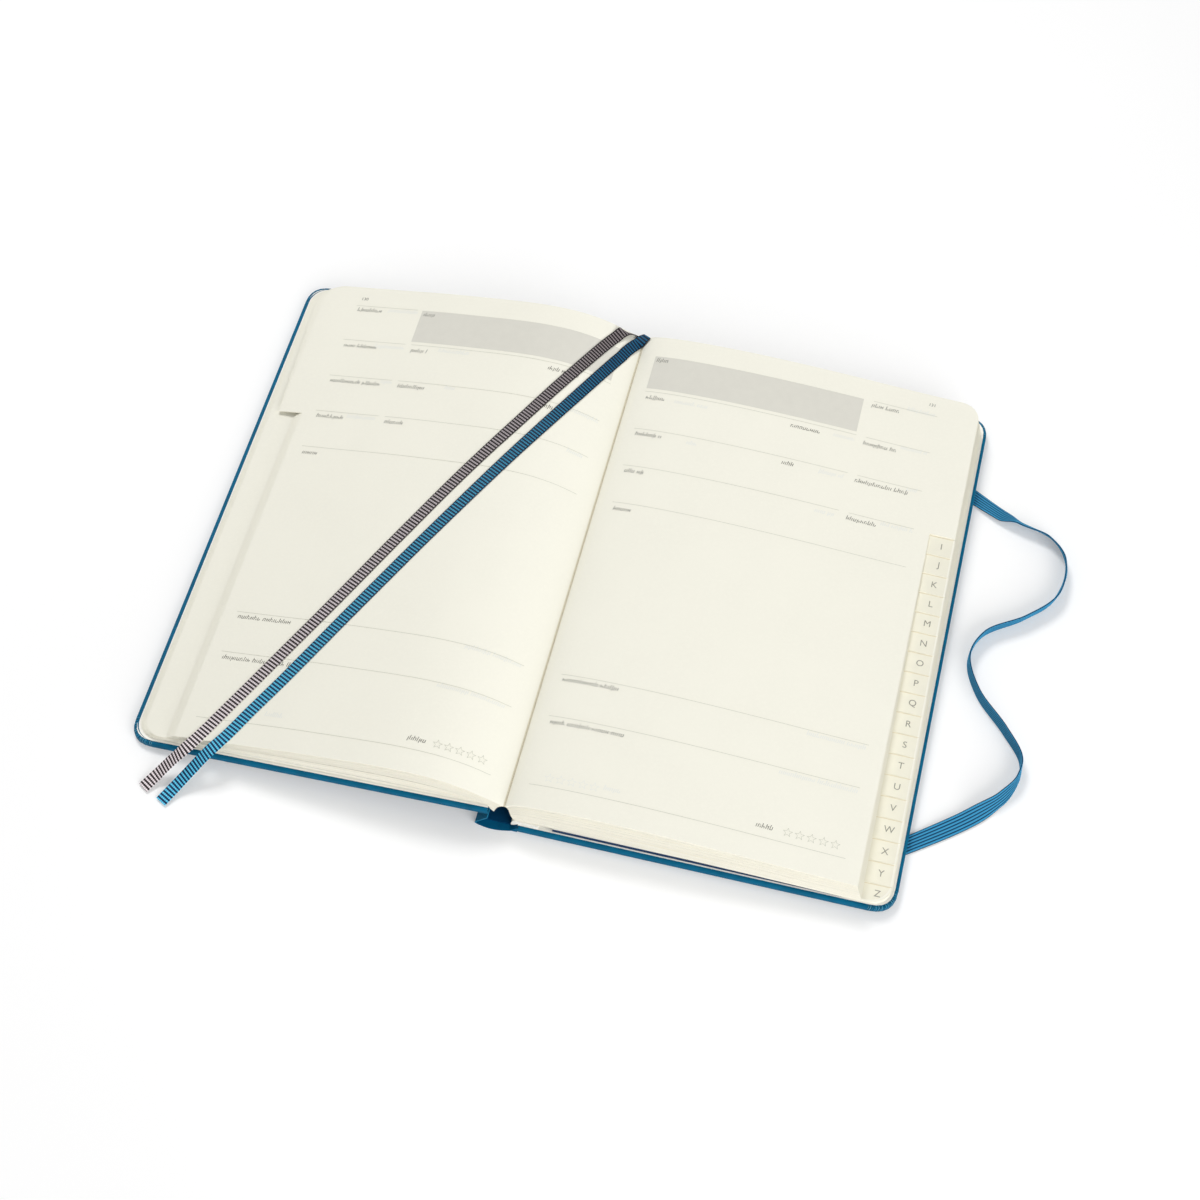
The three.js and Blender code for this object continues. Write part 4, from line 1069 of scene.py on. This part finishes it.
class JOURNAL_OT_case(bpy.types.Operator):
    """Dresses the covers and makes the cloth of the spine and the front joint"""

    bl_idname = "journal.case"
    bl_label = "Case"

    def execute(self, context):
        case = context.scene.journal_case
        leatherette = leatherette_material(
            "pebbled_leatherette", tuple(case.cover), case.grain, pleated=True)
        endpaper = paper_material("endpaper", linear("#FAF8F0"))
        board = board_material()
        gusset = cloth_material("gusset_cloth", tuple(case.gusset), 0.3, 0.9)
        # Near-black navy: painted shade of the spine's hollow on what is a pale gauze.
        lining = cloth_material("spine_gauze_painted_shade", linear("#0B2438"), 0.6, 0.9)
        cloth = leatherette_material("spine_book_cloth", tuple(case.spine), case.grain)
        # A darker copy of the spine cloth: painted shade inside the spine's hollow.
        inside = leatherette_material("spine_strip_cloth_painted_shade", linear("#013C60"), case.grain)
        # A lighter copy of the cloth's blue: painted light on the joint cloth where it lies in the
        # front cover's shade.
        lit_joint_cloth = leatherette_material("joint_cloth_painted_light", linear("#1F7CA3"), case.grain)
        looks = {
            "front_cover_wrap": leatherette, "back_cover_wrap": leatherette,
            "front_board": board, "back_board": board, "spine_strip": inside,
            "front_pastedown": endpaper, "back_pastedown": endpaper, "pocket_panel": endpaper,
            "pocket_head_gusset": gusset, "pocket_tail_gusset": gusset,
        }
        for name, material in looks.items():
            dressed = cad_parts[name]
            dressed.data.materials.clear()
            dressed.data.materials.append(material)
            dressed.modifiers.new("Weld", "WELD").merge_threshold = 1e-6
        self.cloth(cloth, lit_joint_cloth, case.cloth_t)
        self.hinge_paper(endpaper)
        self.turn_in(leatherette)
        for stack, name in ((LEFT, "front"), (RIGHT, "back")):
            self.lining(stack, name, lining)
        return {"FINISHED"}

    def turn_in(self, material):
        """The leatherette turned in over the front board's fore-edge, beside the pastedown: a
        sliver 0.5 mm wide that thins out round both corners by the cosine of the turn."""
        margin, width = PASTEDOWN_MARGIN, 0.5
        radius = COVER_CORNER_R - margin
        turn = np.linspace(-math.pi / 2, math.pi / 2, 42)
        x = COVER_W - margin - radius * (1 - np.cos(turn))
        y = np.sin(turn) * radius + np.sign(turn) * (COVER_H / 2 - margin - radius)
        rows = [placed(LEFT, x - inset, y, np.full(len(x), INNER_FACE_Z + up))
                for up in (0.005, 0.06) for inset in (0.0 * x, 0.02 + width * np.cos(turn))]
        slab_piece("front_turn_in", np.stack(rows[:2], 1), np.stack(rows[2:], 1), "front_half",
                   "cover_leatherette", material)

    def hinge_paper(self, material):
        """The endpapers where they cross from the back cover to the block: a wedge between two
        splines in x and z, carried from tail to head. It bends with the spine cloth."""
        low = chordal_spline([(2.4, 1.7), (3.3, 1.8), (4.3, 2.6), (5.1, 3.11), (12, 3.14)], 28)
        high = chordal_spline([(2.4, 2.0), (2.75, 3.9), (3.3, 4.6), (6, 4.64), (12, 4.64)], 28)
        layers = [np.stack(np.broadcast_arrays(
            line[None, :, 0], np.linspace(-103.5, 103.5, 12)[:, None], line[None, :, 1]), -1)
            for line in (low, high)]
        made = slab_piece("back_hinge_paper", *layers, None, "endpaper", material)
        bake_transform(made)

    def cloth(self, material, lit_joint_cloth, t):
        """The spine cloth lies flat under the strip and runs up to the back cover's edge; the
        joint cloth rises from its nose to the front cover. Both are two profile lines in x and
        z, below and above, carried from tail to head. The nose is a half round."""
        x = np.linspace(-9.35, 4.93, 36)
        low = np.column_stack([x, np.zeros(36)])
        fillet = 2.6 * np.clip((x - 1.6) / 3.33, 0, 1) ** 1.8
        high = np.column_stack([x, t + fillet])
        strip = self.swept("spine_cover_cloth", low, high, material, "spine_cloth")
        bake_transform(strip)
        line = chordal_spline([(-9.35, t / 2), (-9.78, 0.5), (-9.5, 1.35), (-7.35, 4.6),
                               (-5.1, 7.75)], 26)
        along = unit(np.gradient(line, axis=0))
        out = np.stack([-along[:, 1], along[:, 0]], -1) * t / 2
        joint = self.swept("front_joint_cloth", (line + out)[::-1], (line - out)[::-1],
                           lit_joint_cloth, "joint_cloth")
        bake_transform(joint)

    def lining(self, stack, name, material):
        """The gauze glued on the backs of the sheets: it follows the spine ends of the leaves'
        curves from share 0.06 to 0.97, 0.12 mm off them, and is 0.2 mm thick."""
        ends = np.array([stack_curve(stack, share)[0] for share in np.linspace(0.06, 0.97, 16)])
        along = unit(np.gradient(ends, axis=0))
        off = np.stack([-along[:, 1], along[:, 0]], -1)
        ys = np.linspace(-HALF_PAGE + 0.2, HALF_PAGE - 0.2, 22)[:, None]
        near, far = (placed(stack, (ends + off * d)[:, 0], ys, (ends + off * d)[:, 1])
                     for d in (0.12, 0.32))
        if stack["side"] < 0:
            near, far = far, near
        slab_piece("lining_" + name, near, far, stack["body"], "spine_lining", material,
                   ("spine_lining_" + name,))

    def swept(self, name, low, high, material, replaced):
        """A cloth between two profile lines, carried from tail to head. Both of its ends bulge
        out by up to 1 mm, by a sine of the place across."""
        ys = np.linspace(-1, 1, 43)[:, None]
        layers = []
        for xz in (low, high):
            bulge = np.sin(math.pi * np.clip((xz[:, 0] + 10.5) / 13.5, 0, 1))
            reach = COVER_H / 2 + bulge * np.abs(ys) ** 24
            layers.append(np.stack(np.broadcast_arrays(
                xz[None, :, 0], ys * reach, xz[None, :, 1]), -1))
        return slab_piece(name, *layers, None, "spine_cloth", material, (replaced,))


class JOURNAL_OT_leaves(bpy.types.Operator):
    """Makes the leaves of both halves with the stepped index"""

    bl_idname = "journal.leaves"
    bl_label = "Leaves"

    def execute(self, context):
        paper = context.scene.journal_paper
        page = paper_material("uncoated_page", tuple(paper.page))
        edge = edge_material(tuple(paper.edge))
        rng = np.random.default_rng(7)
        for stack, rows in ((LEFT, LEFT_ROWS), (RIGHT, RIGHT_ROWS)):
            for name, band, section in rows:
                count = 24 if name.startswith("leaf_page") else 7
                leaf_bundle(name, stack, band, section, rng, count, [page, edge], paper.group)
        return {"FINISHED"}


class JOURNAL_OT_print(bpy.types.Operator):
    """Prints the form on the open pages and the letters of the index"""

    bl_idname = "journal.print"
    bl_label = "Print"

    def execute(self, context):
        paper = context.scene.journal_paper
        ink = ink_material("grey_ink", tuple(paper.ink))
        rule = ink_material("rule_ink", tuple(paper.rule))
        box = ink_material("title_box_tint", tuple(paper.box))
        ghost = ink_material("show_through", tuple(paper.ghost))
        # A tan strip each side of the gutter: painted shade in the valley between the pages.
        gutter_shade_ink = ink_material("gutter_crease", linear("#DDD6C0"))
        rng = np.random.default_rng(31)
        for form in FORMS:
            side = form["side"]
            words = Press(side, 0.06)
            for y, x, width in form["marks"]:
                words.marks(x, y, width, rng)
            words.text(*form["number"], 1.3)
            tint = Press(side, 0.025)
            tint.strip(*form["box"], *TITLE_ROW)
            shown = Press(side, 0.015)
            for y, x, width in form["ghosts"]:
                shown.marks(x, y, width, rng, 1.3, 0.3)
            if form["ghost_stars"]:
                shown.stars(*form["ghost_stars"], GHOST_STAR_ROW)
            # Painted shade along the gutter.
            crease = Press(side, 0.02)
            crease.strip(*form["crease"], -HALF_PAGE, HALF_PAGE)
            for press, kind, material in (
                (words, "labels", ink), (self.rules(form), "rules", rule),
                (tint, "title_box", box), (shown, "show_through", ghost),
                (crease, "gutter_crease", gutter_shade_ink),
            ):
                press.piece(form["name"] + "_" + kind, material, form["body"])
        self.tabs(paper)
        return {"FINISHED"}

    def rules(self, form):
        """The form's rules, a narrow column on the outer side and a wide one inside, and the
        row of stars at the foot."""
        lines = Press(form["side"], 0.04)
        outer, inner = form["outer"], form["inner"]
        lines.rule(*outer, 93.7)
        for y in ROWS_OF_TWO:
            lines.rule(*outer, y)
            lines.rule(*inner, y)
        for y in ROWS_OF_ONE:
            lines.rule(min(outer[0], inner[0]), max(outer[1], inner[1]), y)
        lines.stars(*form["stars"], STAR_ROW)
        return lines

    def tabs(self, paper):
        """On each tab of the open index: a tint, a thin shade under the step of the tab above,
        and the letter. Each lies on the top leaf of its section and follows its height."""
        tint, line, letter = ([], []), ([], []), ([], [])
        for name, band, section in RIGHT_ROWS:
            if not name.startswith("section_") or name == "section_h_right":
                continue
            pitch = (band[1] - band[0]) / group_count(RIGHT, band, paper.group)
            top = band[1] - pitch * (1 - GROUP_FILL)
            fore = stack_curve(RIGHT, top - pitch * GROUP_FILL)[-1, 0]
            high = tab_line(RIGHT, section) - skewed(RIGHT, fore, top)
            low = tab_line(RIGHT, section + 1) - skewed(RIGHT, fore, top)
            room = 0
            if section == FULL:
                room, low = PAGE_CORNER_R, -HALF_PAGE - skewed(RIGHT, fore, top)
            start, end = fore - TAB_DEPTH - 0.4, fore - 0.7
            self.lay(tint, *patch(start, end, low, high, room), top, 0.02)
            self.lay(line, *patch(start, end, high - 0.34, high - 0.02, 0), top, 0.03)
            points, faces = glyphs(name[-1].upper(), 2.45)
            middle = (fore - TAB_DEPTH / 2 + 0.2, (high + low) / 2 + 0.1)
            self.lay(letter, points + middle, faces, top, 0.05)
        for name, (points, faces), material in (
            ("index_tints", tint, ink_material("tab_tint", tuple(paper.tab))),
            ("index_edges", line, ink_material("tab_edge_shade", linear("#E3DAC0"))),
            ("index_letters", letter, ink_material("letter_ink", tuple(paper.letter))),
        ):
            made = new_object(name, np.concatenate(points), faces)
            finish_piece(made, "back_half", [material])

    def lay(self, store, points, faces, share, lift):
        """Adds a flat figure, given in reach and y, to a store of points and faces."""
        curve = stack_curve(RIGHT, share)
        start = sum(len(p) for p in store[0])
        height = np.interp(points[:, 0], curve[:, 0], curve[:, 1]) + lift
        store[0].append(placed(RIGHT, points[:, 0], points[:, 1], height))
        store[1].extend(tuple(int(i) + start for i in f) for f in faces)


def patch(x0, x1, y0, y1, radius):
    """A rectangle in 6 columns, its outer low corner rounded by the given radius."""
    x = np.concatenate([np.linspace(x0, x1 - radius, 3), x1 - radius * (
        1 - np.sin(np.linspace(0, math.pi / 2, 7)[1:]))])
    into = np.clip((x - (x1 - radius)) / max(radius, 1e-6), 0, 1)
    foot = y0 + 0.5 * (radius > 0) + radius * (1 - np.sqrt(1 - into**2))
    points = np.concatenate([np.column_stack([x, foot]), np.column_stack([x, np.full(9, y1)])])
    k = np.arange(8)
    return points, np.stack([k, k + 1, k + 10, k + 9], -1)


class JOURNAL_OT_stage(bpy.types.Operator):
    """Lays the pale floor and sets the soft light"""

    bl_idname = "journal.stage"
    bl_label = "Stage"

    def execute(self, context):
        stage = context.scene.journal_stage
        far = 3000.0
        corners = [(-far, -far, 0), (far, -far, 0), (far, far, 0), (-far, far, 0)]
        floor = new_object("floor", corners, [(0, 1, 2, 3)])
        floor.data.materials.append(sweep_material())
        world = bpy.data.worlds.new("surround")
        world.use_nodes = True
        tree = world.node_tree
        light = node(tree, "ShaderNodeLightPath").node.outputs
        seen = node(tree, "ShaderNodeMath", light["Is Camera Ray"], light["Is Glossy Ray"],
                    operation="MAXIMUM")
        seen = node(tree, "ShaderNodeMath", seen, light["Is Transmission Ray"],
                    operation="MAXIMUM")
        strength = node(tree, "ShaderNodeMapRange", {
            "Value": seen, "To Min": stage.sky, "To Max": 1.0})
        feed(tree.nodes["Background"], {"Strength": strength, "Color": (1, 1, 1, 1)})
        context.scene.world = world
        self.lamp(context, "key", stage.key, 0.4, (-0.38, 0.48, 1.0))
        self.lamp(context, "fill", stage.fill, 1.0, (0.78, -0.78, 0.5))
        context.scene.view_settings.view_transform = "Standard"
        return {"FINISHED"}

    def lamp(self, context, name, power, size, direction):
        """A square soft lamp 1.3 m from the origin, which it faces."""
        lamp = bpy.data.lights.new(name, "AREA")
        lamp.shape, lamp.size, lamp.energy = "SQUARE", size, power
        made = bpy.data.objects.new(name, lamp)
        direction = unit(np.array(direction))
        right = unit(np.cross(UP, direction))
        matrix = np.eye(4)
        matrix[:3, :3] = np.stack([right, np.cross(direction, right), direction]).T
        matrix[:3, 3] = direction * 1.3
        made.matrix_world = Matrix(matrix.tolist())
        context.scene.collection.objects.link(made)


class JOURNAL_PT_panel(bpy.types.Panel):
    """Lists the journal's settings and its operators"""

    bl_label = "Hardcover Journal"
    bl_idname = "JOURNAL_PT_panel"
    bl_space_type = "VIEW_3D"
    bl_region_type = "UI"
    bl_category = "Journal"

    def draw(self, context):
        for group in (getattr(context.scene, key) for key in GROUPS):
            column = self.layout.column()
            column.label(text=group.__doc__)
            for key in group.__annotations__:
                column.prop(group, key)
        for operator in STEPS:
            self.layout.operator(operator.bl_idname)


GROUPS = {
    "journal_case": JournalCase, "journal_paper": JournalPaper, "journal_bands": JournalBands,
    "journal_stage": JournalStage,
}
STEPS = (
    JOURNAL_OT_camera, JOURNAL_OT_bands, JOURNAL_OT_case, JOURNAL_OT_leaves, JOURNAL_OT_print,
    JOURNAL_OT_stage,
)


def register():
    for group in GROUPS.values():
        bpy.utils.register_class(group)
    for key, group in GROUPS.items():
        setattr(bpy.types.Scene, key, bpy.props.PointerProperty(type=group))
    for step in (*STEPS, JOURNAL_PT_panel):
        bpy.utils.register_class(step)


def unregister():
    for step in (JOURNAL_PT_panel, *reversed(STEPS)):
        bpy.utils.unregister_class(step)
    for key, group in GROUPS.items():
        delattr(bpy.types.Scene, key)
        bpy.utils.unregister_class(group)


def main():
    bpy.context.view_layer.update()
    register()
    for step in STEPS:
        group, name = step.bl_idname.split(".")
        getattr(getattr(bpy.ops, group), name)()


if __name__ == "__main__":
    main()
